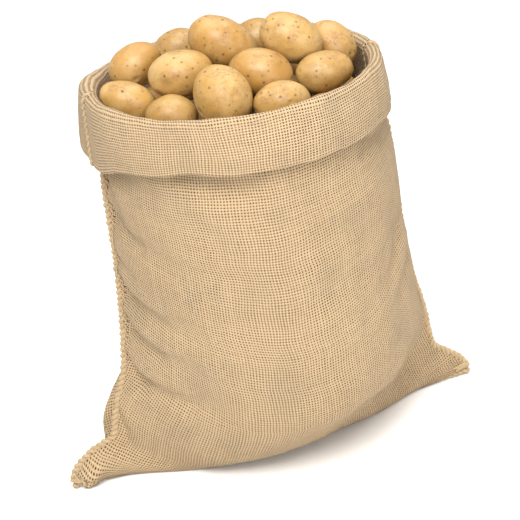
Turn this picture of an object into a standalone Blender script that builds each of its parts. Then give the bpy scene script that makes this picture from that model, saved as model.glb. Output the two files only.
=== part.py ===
"""Hessian sack of potatoes, standing open with its mouth rolled down into a cuff.

Metres, +Z up. The origin is on the floor under the middle of the sack. The two panels meet in the plane
y = 0, the front one on the -Y side. Lengths in the tables are in millimetres and angles in degrees.
"""

import math
from collections import namedtuple

import bmesh
import bpy
import numpy as np

MM = 0.001

CLOTH_THICKNESS = 1.6 * MM
SIDE_EDGE_GAP = 1.0 * MM  # from the seam plane to each panel's side edge
RIDGE_RADIUS = 2.6 * MM  # overlocked seam ridge
RIDGE_OFFSET = 4.1 * MM  # from a cloth edge to the middle of the ridge on it
FLAT_RIDGE_RADIUS = 1.6 * MM  # of the side ridges where the rolled rim squashes them
FLAT_RIDGE_OFFSET = 3.0 * MM
BOTTOM_RIDGE_HEIGHT = 2.7 * MM
BOTTOM_RIDGE_OVERHANG = 2.0 * MM  # past the panels' corners
BOTTOM_RIDGE_POINTS = 9
BOTTOM_EDGE_REACH = 4.2 * MM  # from the middle of the bottom ridge to a panel's lower edge

FOLD_RADIUS_MIDDLE = 4.5 * MM  # of the roll at the rim
FOLD_RADIUS_SIDE = 5.5 * MM
CUFF_DROP_MIDDLE = 45 * MM
CUFF_DROP_LEFT = 62 * MM
CUFF_DROP_RIGHT = 46 * MM
CUFF_DROP_POWER = 10  # how near the side seam the cuff starts to hang lower
CUFF_FLARE_MIDDLE = 5 * MM
CUFF_FLARE_SIDE = 3 * MM
HEM_RADIUS_MIDDLE = 2.5 * MM
HEM_RADIUS_SIDE = 1.8 * MM
HEM_DEPTH = 15 * MM
CORNER_PUFF = 2.5 * MM  # added to the roll's radius on the back panel, just behind the left seam
CORNER_PUFF_U = -0.84
CORNER_PUFF_WIDTH = 0.12
CORNER_PUFF_FADE = 12  # power of its fade to nothing at the seam

HAUNCH = 25 * MM  # how far the back panel bellies out past the left seam, low down
HAUNCH_U = -0.80
HAUNCH_WIDTH = 0.09
HAUNCH_Z = 50 * MM
HAUNCH_HEIGHT = 34 * MM
HAUNCH_FADE = 8

TUCK = 0.20  # share of its depth that the front panel loses over the foot, right of the middle
TUCK_U = 0.22
TUCK_WIDTH = 0.38
TUCK_HEIGHT = 46 * MM

EAR_PUFF = 11 * MM  # how far the front panel swells forward in the left ear
EAR_SINK = 0.95  # share of its height that the ear's lowest cloth loses, so that it lies on the floor
EAR_U = -0.82
EAR_WIDTH = 0.13
EAR_RUN = 26
EAR_RUN_WIDTH = 18
EAR_FLOOR_RUN = 26
EAR_FADE = 30

FOOT_TWIST = math.radians(5.5)  # the foot is turned against the mouth
TWIST_HEIGHT = 300 * MM

COLUMNS = 24  # of cloth quads, seam to seam
BODY_ROWS = 27
SQUASH_ROWS = (16, 21)  # where the side ridges thin towards the roll
RIDGE_FOLD_STEPS = 6  # of a side ridge over the roll
FOLD_ROWS = 5
CUFF_ROWS = 3
HEM_ROWS = 3
PANEL_WIDTH = 0.20  # half the flat width of a panel
CREASE_ROOM_SHARE = 0.5  # a crease takes at most this share of the way to the seam plane
CREASE_START = 4 * MM  # above the floor, where creases begin
CREASE_FADE_IN = 20 * MM
SIDE_RISE_POWER = 1.8  # how late a row of cloth starts to climb to its seams

# A level of the sack, from the bottom seam up to the rim, measured along the cloth in the panel's middle (run).
# A bow is the power that shapes the plan, 0.5 for an ellipse and more where the panels close to a flat ear.
Level = namedtuple("Level", "name run x_middle half_width depth z_middle z_left z_right bow back_bow flat")
LEVELS = (
    Level("bottom edge", 0, 2, 198, 3, 0.8, 6, 6, 1.45, 1.45, 0.62),
    Level("floor inner", 20, 1, 192, 20, 0.8, 18, 18, 1.45, 1.35, 0.62),
    Level("floor outer", 38, 2, 175, 38, 0.8, 32, 32, 1.35, 1.15, 0.60),
    Level("turn lower", 58, 7, 158, 57, 6, 41, 44, 1.15, 0.80, 0.50),
    Level("turn middle", 80, 9, 153, 77, 16, 62, 64, 0.95, 0.75, 0.40),
    Level("turn upper", 102, 12, 148, 94, 30, 83, 83, 0.80, 0.65, 0.30),
    Level("foot", 126, 14, 142, 108, 49, 103, 103, 0.68, 0.58, 0.18),
    Level("belly low", 155, 14, 136.5, 118, 77, 131, 131, 0.58, 0.53, 0.05),
    Level("belly", 195, 14.5, 132.5, 123, 117, 167, 167, 0.50, 0.50, 0.0),
    Level("waist", 245, 15.5, 129.5, 124.5, 167, 212, 212, 0.50, 0.50, 0.0),
    Level("waist high", 295, 16, 128.5, 124.5, 217, 251, 251, 0.50, 0.50, 0.0),
    Level("chest", 340, 15.75, 126.75, 123.5, 262, 284, 282, 0.50, 0.50, 0.0),
    Level("under cuff", 378, 14.75, 121.25, 122, 300, 312, 306, 0.50, 0.50, 0.0),
    Level("neck", 405, 14.5, 119, 120.5, 327, 333, 326, 0.50, 0.50, 0.0),
    Level("rim", 434, 14.25, 118.25, 119.5, 355, 357.5, 350, 0.50, 0.50, 0.0),
)

# A crease, as a soft trough from one point of a panel to another. across runs from -1 at the left seam to 1 at
# the right one.
Crease = namedtuple("Crease", "across_from z_from across_to z_to depth width")
FRONT_CREASES = (
    Crease(-0.93, 252, -0.60, 238, 4.0, 15),
    Crease(-0.92, 178, -0.50, 168, 4.5, 15),
    Crease(-0.93, 144, -0.55, 130, 4.5, 15),
    Crease(-0.93, 104, -0.45, 90, 5.0, 15),
    Crease(-0.97, 44, -0.76, 28, 4.0, 12),
    Crease(0.66, 196, 0.48, 168, 3.5, 15),
    Crease(0.74, 162, 0.56, 142, 3.5, 15),
    Crease(0.93, 62, 0.82, 26, 4.0, 13),
    Crease(0.30, 30, 0.78, 34, 10.0, 34),
    Crease(0.10, 270, 0.30, 180, 1.5, 30),
)
BACK_CREASES = (
    Crease(-0.90, 220, -0.50, 200, 4.0, 16),
    Crease(-0.90, 120, -0.45, 96, 4.5, 16),
    Crease(-0.93, 60, -0.76, 34, 4.0, 14),
    Crease(0.90, 200, 0.55, 176, 4.0, 16),
    Crease(0.90, 108, 0.60, 84, 4.5, 16),
    Crease(-0.10, 270, 0.10, 160, 2.0, 30),
)

# A potato: the middle of its body, half its length and half its thickness, the way its long axis points, and
# how much fatter its far end is than its near one.
Potato = namedtuple("Potato", "x y z half_length half_thickness heading pitch egg")
TOP_POTATOES = (
    Potato(-78, 0, 350, 26, 17, -21, -27, 0.05),
    Potato(-63, 39, 368, 25, 18.5, 3, 23, -0.06),
    Potato(-19, 81, 362, 22.5, 17, -4, 10, 0.04),
    Potato(-30, -5, 366, 28.5, 20.5, -7, 2, -0.05),
    Potato(13, 14, 379, 31.5, 21.5, -24, -31, -0.06),
    Potato(52, 64, 362, 21, 17, -12, -9, 0.05),
    Potato(69, -6, 377, 28.5, 21, -24, -31, -0.05),
    Potato(107, 8, 359, 23.5, 19, -44, -51, 0.04),
    Potato(-47, -31, 339, 22.5, 19, -12, -9, 0.04),
    Potato(-5, -55, 356, 27.5, 24, -56, -58, 0.06),
    Potato(35, -29, 360, 28, 20.5, -19, -22, 0.04),
    Potato(87, -40, 353, 25, 17.5, -7, 2, -0.06),
    Potato(42, -67, 344, 24, 18, -10, -4, 0.05),
)
DEEP_POTATOES = (
    Potato(-65, -20, 307, 28, 18, -95, -10, 0.04),
    Potato(-43, -61, 313, 24, 20, -23, 2, 0.05),
    Potato(-1, -87, 323, 24, 18, -21, -3, -0.04),
    Potato(48, -87, 310, 27, 19, 5, -13, 0.04),
    Potato(83, -56, 319, 27, 20, 21, -14, -0.05),
    Potato(103, -13, 320, 26, 19, 105, 0, 0.04),
    Potato(95, 36, 330, 26, 19, 124, 3, 0.05),
    Potato(65, 74, 324, 24, 20, 160, 16, -0.04),
    Potato(19, 92, 336, 27, 18, 167, 5, 0.04),
    Potato(-28, 82, 324, 27, 20, 232, -8, 0.04),
    Potato(-61, 39, 329, 28, 18, 214, 17, -0.04),
    Potato(-24, 0, 318, 28, 18, 248, -7, 0.05),
    Potato(34, 37, 336, 24, 20, 159, 3, 0.04),
    Potato(37, -41, 311, 25, 19, 11, 9, 0.04),
    Potato(58, 0, 325, 26, 18, 75, 7, -0.04),
)
TOP_POTATO_DETAIL = 3  # icosphere subdivisions
DEEP_POTATO_DETAIL = 2


def clear_scene():
    for old in list(bpy.data.objects):
        bpy.data.objects.remove(old, do_unlink=True)


def make_collection(name):
    collection = bpy.data.collections.new(name)
    bpy.context.scene.collection.children.link(collection)
    return collection


def make_material(name, colour, roughness):
    material = bpy.data.materials.new(name)
    material.use_nodes = True
    shader = material.node_tree.nodes["Principled BSDF"]
    shader.inputs["Base Color"].default_value = (*colour, 1.0)
    shader.inputs["Roughness"].default_value = roughness
    shader.inputs["Metallic"].default_value = 0.0
    return material


def link_object(name, data, material, collection):
    obj = bpy.data.objects.new(name, data)
    data.materials.append(material)
    collection.objects.link(obj)
    return obj


def monotone(stations, values, where):
    """A smooth curve through the values that never overshoots them, so flat stretches stay flat."""
    stations = np.asarray(stations, float)
    values = np.asarray(values, float)
    steps = np.diff(stations)
    secants = np.diff(values) / steps
    slopes = np.concatenate([secants[:1], np.zeros(len(secants) - 1), secants[-1:]])
    for i in range(1, len(secants)):
        before, after = secants[i - 1], secants[i]
        if before * after > 0:
            slopes[i] = 2 * before * after / (before + after)
    where = np.clip(where, stations[0], stations[-1])
    k = np.clip(np.searchsorted(stations, where, side="right") - 1, 0, len(steps) - 1)
    t = (where - stations[k]) / steps[k]
    return (
        (2 * t**3 - 3 * t**2 + 1) * values[k]
        + (t**3 - 2 * t**2 + t) * steps[k] * slopes[k]
        + (3 * t**2 - 2 * t**3) * values[k + 1]
        + (t**3 - t**2) * steps[k] * slopes[k + 1]
    )


def level_at(run):
    """Every measure of the sack's section at one run, in metres, with bow and flat as they are."""
    runs = [level.run for level in LEVELS]
    measures = {}
    for field in Level._fields[2:]:
        scale = 1.0 if field in ("bow", "back_bow", "flat") else MM
        measures[field] = scale * float(monotone(runs, [getattr(level, field) for level in LEVELS], run))
    return measures


def side_rise(across, flat):
    """How far a point has climbed from the panel's middle towards its seam, from 0 to 1."""
    return max(0.0, (abs(across) - flat) / (1.0 - flat)) ** SIDE_RISE_POWER


def haunch(u, z):
    """The back panel's belly beside the left seam, as a step towards -X."""
    around = math.exp(-(((u - HAUNCH_U) / HAUNCH_WIDTH) ** 2) - ((z - HAUNCH_Z) / HAUNCH_HEIGHT) ** 2)
    return HAUNCH * around * (1.0 - u**HAUNCH_FADE)


def tuck(u, z):
    """The share of its depth that the front panel keeps where it is drawn in over the foot."""
    return 1.0 - TUCK * math.exp(-(((u - TUCK_U) / TUCK_WIDTH) ** 2) - (z / TUCK_HEIGHT) ** 4)


def ear_share(u):
    """How much a point belongs to the left ear, from 0 to 1, and to nothing at the seam."""
    return math.exp(-(((u - EAR_U) / EAR_WIDTH) ** 2)) * (1.0 - u**EAR_FADE)


def body_point(u, run, side):
    """The middle of the cloth of one panel, u from -1 at the left seam to 1 at the right one."""
    level = level_at(run)
    bow = level["bow"] if side < 0 else level["back_bow"]
    across = math.sin(u * math.pi / 2)
    rise = side_rise(across, level["flat"])
    side_z = level["z_left"] if u < 0 else level["z_right"]
    x = level["x_middle"] + level["half_width"] * across
    depth = level["depth"] * max(0.0, 1.0 - across**2) ** bow
    z = level["z_middle"] + (side_z - level["z_middle"]) * rise
    if side > 0:
        x -= haunch(u, z)
    else:
        depth *= tuck(u, z)
        depth += EAR_PUFF * ear_share(u) * math.exp(-(((run - EAR_RUN) / EAR_RUN_WIDTH) ** 2))
        z *= 1.0 - EAR_SINK * ear_share(u) * math.exp(-((run / EAR_FLOOR_RUN) ** 4))
    return np.array([x, side * (SIDE_EDGE_GAP + depth), z])


def bottom_edge_point(u, side):
    """The lower edge, which climbs round the bottom seam's ridge from its side to above it at the ears."""
    level = level_at(0)
    across = math.sin(u * math.pi / 2)
    lowest = math.asin((level["z_middle"] - BOTTOM_RIDGE_HEIGHT) / BOTTOM_EDGE_REACH)
    highest = math.acos(SIDE_EDGE_GAP / BOTTOM_EDGE_REACH)
    turn = lowest + (highest - lowest) * side_rise(across, level["flat"])
    return np.array([
        level["x_middle"] + level["half_width"] * across,
        side * BOTTOM_EDGE_REACH * math.cos(turn),
        BOTTOM_RIDGE_HEIGHT + BOTTOM_EDGE_REACH * math.sin(turn),
    ])


def fold_radius(u, side):
    radius = FOLD_RADIUS_MIDDLE + (FOLD_RADIUS_SIDE - FOLD_RADIUS_MIDDLE) * math.sin(u * math.pi / 2) ** 2
    if side > 0:
        around = math.exp(-(((u - CORNER_PUFF_U) / CORNER_PUFF_WIDTH) ** 2))
        radius += CORNER_PUFF * around * (1.0 - u**CORNER_PUFF_FADE)
    return radius


def cuff_flare(u):
    return CUFF_FLARE_MIDDLE + (CUFF_FLARE_SIDE - CUFF_FLARE_MIDDLE) * math.sin(u * math.pi / 2) ** 2


def hem_radius(u):
    return HEM_RADIUS_MIDDLE + (HEM_RADIUS_SIDE - HEM_RADIUS_MIDDLE) * math.sin(u * math.pi / 2) ** 2


def cuff_drop(u):
    side_drop = CUFF_DROP_LEFT if u < 0 else CUFF_DROP_RIGHT
    share = abs(math.sin(u * math.pi / 2)) ** CUFF_DROP_POWER
    return CUFF_DROP_MIDDLE + (side_drop - CUFF_DROP_MIDDLE) * share


def rim_outward(u, side):
    """The outward direction in plan at the rim."""
    level = level_at(LEVELS[-1].run)
    angle = u * math.pi / 2
    outward = np.array([math.sin(angle) / level["half_width"], side * math.cos(angle) / level["depth"], 0.0])
    return outward / np.linalg.norm(outward)


def cuff_profile(u, side):
    """(outward, upward) points of the cloth from the rim over the roll, down the cuff and round its hem."""
    radius, flare, drop, hem = fold_radius(u, side), cuff_flare(u), cuff_drop(u), hem_radius(u)
    points = []
    for step in range(1, FOLD_ROWS + 1):
        angle = math.pi * (1 - step / FOLD_ROWS)
        points.append((radius + radius * math.cos(angle), radius * math.sin(angle)))
    hem_z = radius - drop + hem
    for step in range(1, CUFF_ROWS + 1):
        part = step / CUFF_ROWS
        points.append((2 * radius + flare * part, hem_z * part))
    hem_middle = 2 * radius + flare - hem
    for step in range(1, HEM_ROWS + 1):
        angle = -math.pi * step / HEM_ROWS
        points.append((hem_middle + hem * math.cos(angle), hem_z + hem * math.sin(angle)))
    points.append((hem_middle - hem, hem_z + HEM_DEPTH))
    return points


def twisted(point):
    """The point after the foot has been turned against the mouth, about the upright axis."""
    x, y, z = point
    part = min(1.0, max(0.0, z / TWIST_HEIGHT))
    angle = FOOT_TWIST * (1.0 - part * part * (3.0 - 2.0 * part))
    return (x * math.cos(angle) - y * math.sin(angle), x * math.sin(angle) + y * math.cos(angle), z)


def panel_point(u, row, side):
    """The middle of the cloth at one grid row, from the bottom edge to the end of the hem."""
    if row == 0:
        return bottom_edge_point(u, side)
    if row <= BODY_ROWS:
        return body_point(u, LEVELS[-1].run * row / BODY_ROWS, side)
    outward, upward = cuff_profile(u, side)[row - BODY_ROWS - 1]
    base = body_point(u, LEVELS[-1].run, side) + rim_outward(u, side) * outward
    return base + np.array([0.0, 0.0, upward])


def crease_depth(u, z, crease):
    """How deep one crease is at a point, fading over its width and past its ends."""
    start = np.array([crease.across_from * PANEL_WIDTH, crease.z_from * MM])
    along = np.array([crease.across_to * PANEL_WIDTH, crease.z_to * MM]) - start
    offset = np.array([u * PANEL_WIDTH, z]) - start
    part = min(1.0, max(0.0, offset @ along / (along @ along)))
    distance = np.linalg.norm(offset - part * along)
    return crease.depth * MM * math.exp(-((distance / (crease.width * MM)) ** 2))


def make_panel(name, side, creases, material, collection):
    """One panel of cloth. side is -1 for the front and 1 for the back."""
    rows = BODY_ROWS + FOLD_ROWS + CUFF_ROWS + HEM_ROWS + 1
    bm = bmesh.new()
    bmesh.ops.create_grid(bm, x_segments=COLUMNS, y_segments=rows, size=1.0)
    places = {}
    for vertex in bm.verts:
        u = round(vertex.co.x, 6)
        row = round((vertex.co.y + 1) / 2 * rows)
        point = panel_point(u, row, side)
        places[vertex] = (u, row, abs(point[1]) - SIDE_EDGE_GAP)
        vertex.co = twisted(point)
    if side > 0:
        bmesh.ops.reverse_faces(bm, faces=bm.faces)
    bm.normal_update()
    moves = {}
    for vertex, (u, row, room) in places.items():
        if row >= BODY_ROWS - 1:
            continue
        depth = sum(crease_depth(u, vertex.co.z, crease) for crease in creases)
        floor_fade = min(1.0, max(0.0, (vertex.co.z - CREASE_START) / CREASE_FADE_IN))
        outward = vertex.normal * -1.0 if vertex.normal.y * side < 0 else vertex.normal
        moves[vertex] = outward * -min(depth, CREASE_ROOM_SHARE * room) * floor_fade
    for vertex, move in moves.items():
        vertex.co += move
    mesh = bpy.data.meshes.new(name)
    bm.to_mesh(mesh)
    bm.free()
    mesh.shade_smooth()
    panel = link_object(name, mesh, material, collection)
    solidify = panel.modifiers.new("cloth thickness", "SOLIDIFY")
    solidify.thickness = CLOTH_THICKNESS
    solidify.offset = 0.0
    return panel


def make_ridge(name, route, material, collection):
    """A seam's overlocked ridge, as a tube along (point, radius) pairs."""
    curve = bpy.data.curves.new(name, "CURVE")
    curve.dimensions = "3D"
    curve.bevel_depth = 1.0
    curve.bevel_resolution = 2
    curve.use_fill_caps = True
    spline = curve.splines.new("POLY")
    spline.points.add(len(route) - 1)
    for target, (point, radius) in zip(spline.points, route):
        target.co = (*twisted(point), 1.0)
        target.radius = radius
    return link_object(name, curve, material, collection)


def mitred_outward(edge, side):
    """For each point of an edge in the X-Z plane, the step that keeps an offset line one unit from the edge."""
    steps = np.diff(edge, axis=0)
    steps /= np.linalg.norm(steps, axis=1)[:, None]
    normals = np.stack([steps[:, 1], -steps[:, 0]], axis=1) * side
    before = np.vstack([normals[:1], normals])
    after = np.vstack([normals, normals[-1:]])
    return (before + after) / (1.0 + np.sum(before * after, axis=1))[:, None]


def side_ridge_route(u):
    """The side seam's route: up the sack's side, over inside the roll and down behind the cuff."""
    edge = np.array([panel_point(u, row, -1)[[0, 2]] for row in range(BODY_ROWS + 1)])
    squash = np.interp(np.arange(BODY_ROWS + 1), SQUASH_ROWS, (0.0, 1.0))
    offsets = RIDGE_OFFSET + (FLAT_RIDGE_OFFSET - RIDGE_OFFSET) * squash
    radii = RIDGE_RADIUS + (FLAT_RIDGE_RADIUS - RIDGE_RADIUS) * squash
    places = edge + offsets[:, None] * mitred_outward(edge, u)
    route = [((x, 0.0, z), radius) for (x, z), radius in zip(places, radii)]
    rim_x, rim_z = edge[-1]
    radius, drop = fold_radius(u, -1), cuff_drop(u)
    bend = radius - FLAT_RIDGE_OFFSET
    turns = []
    for step in range(1, RIDGE_FOLD_STEPS + 1):
        angle = math.pi * (1 - step / RIDGE_FOLD_STEPS)
        turns.append((radius + bend * math.cos(angle), bend * math.sin(angle)))
    end_z = radius - drop + 2 * hem_radius(u) + HEM_DEPTH
    for part in (0.5, 1.0):
        flare = cuff_flare(u) * part * end_z / (radius - drop + hem_radius(u))
        turns.append((2 * radius - FLAT_RIDGE_OFFSET + flare, end_z * part))
    for outward_by, upward in turns:
        route.append(((rim_x + u * outward_by, 0.0, rim_z + upward), FLAT_RIDGE_RADIUS))
    return route


def bottom_ridge_route():
    middle = LEVELS[0].x_middle * MM
    reach = LEVELS[0].half_width * MM + BOTTOM_RIDGE_OVERHANG
    places = np.linspace(middle - reach, middle + reach, BOTTOM_RIDGE_POINTS)
    return [((x, 0.0, BOTTOM_RIDGE_HEIGHT), RIDGE_RADIUS) for x in places]


def make_potato(name, potato, detail, material, collection):
    """One potato, an ellipsoid with one end a little fatter."""
    bpy.ops.mesh.primitive_ico_sphere_add(
        subdivisions=detail,
        radius=1.0,
        location=(potato.x * MM, potato.y * MM, potato.z * MM),
        rotation=(0.0, math.radians(-potato.pitch), math.radians(potato.heading)),
    )
    obj = bpy.context.object
    obj.name = name
    obj.data.name = name
    for vertex in obj.data.vertices:
        along = vertex.co.x
        fatness = potato.half_thickness * MM * (1 + potato.egg * along)
        vertex.co = (along * potato.half_length * MM, vertex.co.y * fatness, vertex.co.z * fatness)
    obj.data.shade_smooth()
    obj.data.materials.append(material)
    for holder in list(obj.users_collection):
        holder.objects.unlink(obj)
    collection.objects.link(obj)
    return obj


def main():
    clear_scene()
    collection = make_collection("hessian_sack")
    front_cloth = make_material("front_panel_hessian", (0.52, 0.37, 0.21), 0.9)
    back_cloth = make_material("back_panel_hessian", (0.50, 0.36, 0.20), 0.9)
    make_panel("front_panel", -1, FRONT_CREASES, front_cloth, collection)
    make_panel("back_panel", 1, BACK_CREASES, back_cloth, collection)
    for name, u in (("side_seam_left", -1.0), ("side_seam_right", 1.0)):
        twine = make_material(name + "_twine", (0.58, 0.43, 0.26), 0.85)
        make_ridge(name, side_ridge_route(u), twine, collection)
    twine = make_material("bottom_seam_twine", (0.56, 0.42, 0.25), 0.85)
    make_ridge("bottom_seam", bottom_ridge_route(), twine, collection)
    layers = (("potato", TOP_POTATOES, TOP_POTATO_DETAIL), ("deep_potato", DEEP_POTATOES, DEEP_POTATO_DETAIL))
    for kind, potatoes, detail in layers:
        for number, potato in enumerate(potatoes, start=1):
            name = f"{kind}_{number:02d}"
            skin = make_material(name + "_skin", (0.66, 0.44, 0.17), 0.45)
            make_potato(name, potato, detail, skin, collection)


main()
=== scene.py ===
"""Hessian sack of potatoes, dressed for show around its fixed frame.

Metres, +Z up. The origin is on the floor under the middle of the sack, and the two panels of cloth meet in
the plane y = 0, the front one on the -Y side. Tables hold millimetres and degrees.
"""

from __future__ import annotations

import logging
import math
import random
from dataclasses import dataclass
from enum import Enum
from typing import Any, NamedTuple, Sequence, Union

import bpy
import numpy as np
from mathutils import Euler, Matrix, Vector, noise


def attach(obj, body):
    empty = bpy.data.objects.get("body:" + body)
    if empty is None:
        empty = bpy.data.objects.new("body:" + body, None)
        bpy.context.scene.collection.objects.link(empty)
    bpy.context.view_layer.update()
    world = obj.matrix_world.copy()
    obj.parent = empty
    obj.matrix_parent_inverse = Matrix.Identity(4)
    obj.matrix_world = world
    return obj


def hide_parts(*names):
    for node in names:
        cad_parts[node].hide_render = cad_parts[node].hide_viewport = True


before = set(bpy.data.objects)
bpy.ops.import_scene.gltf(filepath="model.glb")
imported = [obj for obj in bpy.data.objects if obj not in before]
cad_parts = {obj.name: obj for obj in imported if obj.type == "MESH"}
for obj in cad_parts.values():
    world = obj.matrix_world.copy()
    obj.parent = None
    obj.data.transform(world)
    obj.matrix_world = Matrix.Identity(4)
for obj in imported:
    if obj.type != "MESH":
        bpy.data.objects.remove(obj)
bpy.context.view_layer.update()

MM = 0.001
BODY = "root"
WEAVE_MAP = "weave"
SEAM_MAP = "seam"
BAKE_MAP = "OFBake"
EYE_ATTRIBUTE = "eye"
# how much painted shade a piece of twine gets, in its hollows
HOLLOW_SHADE_ATTRIBUTE = "hollow"
THREADS_ASIDE = 400.0  # added to every thread's number, which keeps them all positive

logging.basicConfig(level=logging.INFO, format="%(message)s")
log = logging.getLogger("sack")


class Side(Enum):
    """Which panel of the sack, as the sign of its Y."""

    FRONT = -1
    BACK = 1


class Slot(Enum):
    """The record's material slots."""

    HESSIAN = "hessian"
    TWINE = "seam_twine"
    SKIN = "potato_skin"


class Level(NamedTuple):
    """A section of the sack, run along the cloth from the bottom seam. A bow shapes the plan."""

    run: float
    x_middle: float
    half_width: float
    depth: float
    z_middle: float
    z_left: float
    z_right: float
    bow: float
    back_bow: float
    flat: float


class Crease(NamedTuple):
    """A soft trough in a panel and its ridge. Across goes from -1 at the left seam to 1 at the right one."""

    across_from: float
    z_from: float
    across_to: float
    z_to: float
    depth: float
    width: float
    ridge: float = 0.0


class Potato(NamedTuple):
    """A potato's middle, half sizes, the way its long axis points, and how much fatter its far end is."""

    x: float
    y: float
    z: float
    half_length: float
    half_thickness: float
    heading: float
    pitch: float
    egg: float


LEVELS = (
    Level(0, 2, 198, 3, 0.8, 6, 6, 1.45, 1.45, 0.62),
    Level(20, 1, 192, 20, 0.8, 18, 18, 1.45, 1.35, 0.62),
    Level(38, 2, 175, 38, 0.8, 32, 32, 1.35, 1.15, 0.60),
    Level(58, 7, 158, 57, 6, 41, 44, 1.15, 0.80, 0.50),
    Level(80, 9, 153, 77, 16, 62, 64, 0.95, 0.75, 0.40),
    Level(102, 12, 148, 94, 30, 83, 83, 0.80, 0.65, 0.30),
    Level(126, 14, 142, 108, 49, 103, 103, 0.68, 0.58, 0.18),
    Level(155, 14, 136.5, 118, 77, 131, 131, 0.58, 0.53, 0.05),
    Level(195, 14.5, 132.5, 123, 117, 167, 167, 0.50, 0.50, 0.0),
    Level(245, 15.5, 129.5, 124.5, 167, 212, 212, 0.50, 0.50, 0.0),
    Level(295, 16, 128.5, 124.5, 217, 251, 251, 0.50, 0.50, 0.0),
    Level(340, 15.75, 126.75, 123.5, 262, 284, 282, 0.50, 0.50, 0.0),
    Level(378, 14.75, 121.25, 122, 300, 312, 306, 0.50, 0.50, 0.0),
    Level(405, 14.5, 119, 120.5, 327, 333, 326, 0.50, 0.50, 0.0),
    Level(434, 14.25, 118.25, 119.5, 355, 357.5, 350, 0.50, 0.50, 0.0),
)
PLAIN_MEASURES = ("bow", "back_bow", "flat")

FRAME_CREASES = {
    Side.FRONT: (
        Crease(-0.93, 252, -0.60, 238, 4.0, 15),
        Crease(-0.92, 178, -0.50, 168, 4.5, 15),
        Crease(-0.93, 144, -0.55, 130, 4.5, 15),
        Crease(-0.93, 104, -0.45, 90, 5.0, 15),
        Crease(-0.97, 44, -0.76, 28, 4.0, 12),
        Crease(0.66, 196, 0.48, 168, 3.5, 15),
        Crease(0.74, 162, 0.56, 142, 3.5, 15),
        Crease(0.93, 62, 0.82, 26, 4.0, 13),
        Crease(0.30, 30, 0.78, 34, 10.0, 34),
        Crease(0.10, 270, 0.30, 180, 1.5, 30),
    ),
    Side.BACK: (
        Crease(-0.90, 220, -0.50, 200, 4.0, 16),
        Crease(-0.90, 120, -0.45, 96, 4.5, 16),
        Crease(-0.93, 60, -0.76, 34, 4.0, 14),
        Crease(0.90, 200, 0.55, 176, 4.0, 16),
        Crease(0.90, 108, 0.60, 84, 4.5, 16),
        Crease(-0.10, 270, 0.10, 160, 2.0, 30),
    ),
}
FINE_CREASES = {
    Side.FRONT: (
        Crease(-0.985, 292, -0.84, 262, 4.0, 9, 0.4),
        Crease(-0.97, 258, -0.72, 240, 3.6, 8, 0.7),
        Crease(-0.96, 214, -0.80, 204, 2.6, 7, 0.6),
        Crease(-0.96, 187, -0.64, 168, 4.6, 9, 0.7),
        Crease(-0.96, 152, -0.68, 134, 4.6, 8, 0.8),
        Crease(-0.97, 114, -0.78, 98, 5.0, 8, 0.8),
        Crease(-0.80, 98, -0.52, 86, 3.2, 9, 0.6),
        Crease(-0.98, 66, -0.80, 44, 4.4, 8, 0.6),
        Crease(-0.965, 32, -0.83, 24, 3.0, 6, 0.4),
        Crease(-0.975, 9, -0.80, 6, 6.0, 3.6, 0.3),
        Crease(0.70, 205, 0.54, 172, 3.2, 9, 0.6),
        Crease(0.80, 170, 0.60, 146, 3.4, 9, 0.7),
        Crease(0.94, 70, 0.84, 22, 4.4, 7, 0.7),
        Crease(-0.42, 314, -0.12, 300, 6.0, 12, 0.2),
        Crease(0.50, 312, 0.72, 286, 2.6, 9, 0.5),
        Crease(-0.80, 304, -0.55, 292, 2.6, 10, 0.4),
        Crease(-0.20, 60, 0.15, 44, 1.6, 14, 0.4),
        Crease(0.30, 230, 0.62, 214, 1.4, 16, 0.3),
    ),
    Side.BACK: (
        Crease(-0.95, 228, -0.62, 206, 3.2, 9, 0.6),
        Crease(-0.95, 128, -0.58, 100, 3.6, 9, 0.6),
        Crease(0.94, 208, 0.64, 180, 3.2, 9, 0.6),
        Crease(0.94, 116, 0.66, 86, 3.6, 9, 0.6),
        Crease(0.94, 160, 0.74, 146, 2.6, 8, 0.5),
        Crease(-0.94, 176, -0.72, 160, 2.6, 8, 0.5),
        Crease(0.40, 300, 0.66, 280, 2.2, 10, 0.4),
        Crease(-0.50, 306, -0.24, 296, 2.0, 10, 0.4),
        Crease(0.10, 70, 0.42, 52, 1.8, 13, 0.4),
    ),
}

TOP_POTATOES = (
    Potato(-78, 0, 350, 26, 17, -21, -27, 0.05),
    Potato(-63, 39, 368, 25, 18.5, 3, 23, -0.06),
    Potato(-19, 81, 362, 22.5, 17, -4, 10, 0.04),
    Potato(-30, -5, 366, 28.5, 20.5, -7, 2, -0.05),
    Potato(13, 14, 379, 31.5, 21.5, -24, -31, -0.06),
    Potato(52, 64, 362, 21, 17, -12, -9, 0.05),
    Potato(69, -6, 377, 28.5, 21, -24, -31, -0.05),
    Potato(107, 8, 359, 23.5, 19, -44, -51, 0.04),
    Potato(-47, -31, 339, 22.5, 19, -12, -9, 0.04),
    Potato(-5, -55, 356, 27.5, 24, -56, -58, 0.06),
    Potato(35, -29, 360, 28, 20.5, -19, -22, 0.04),
    Potato(87, -40, 353, 25, 17.5, -7, 2, -0.06),
    Potato(42, -67, 344, 24, 18, -10, -4, 0.05),
)
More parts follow.
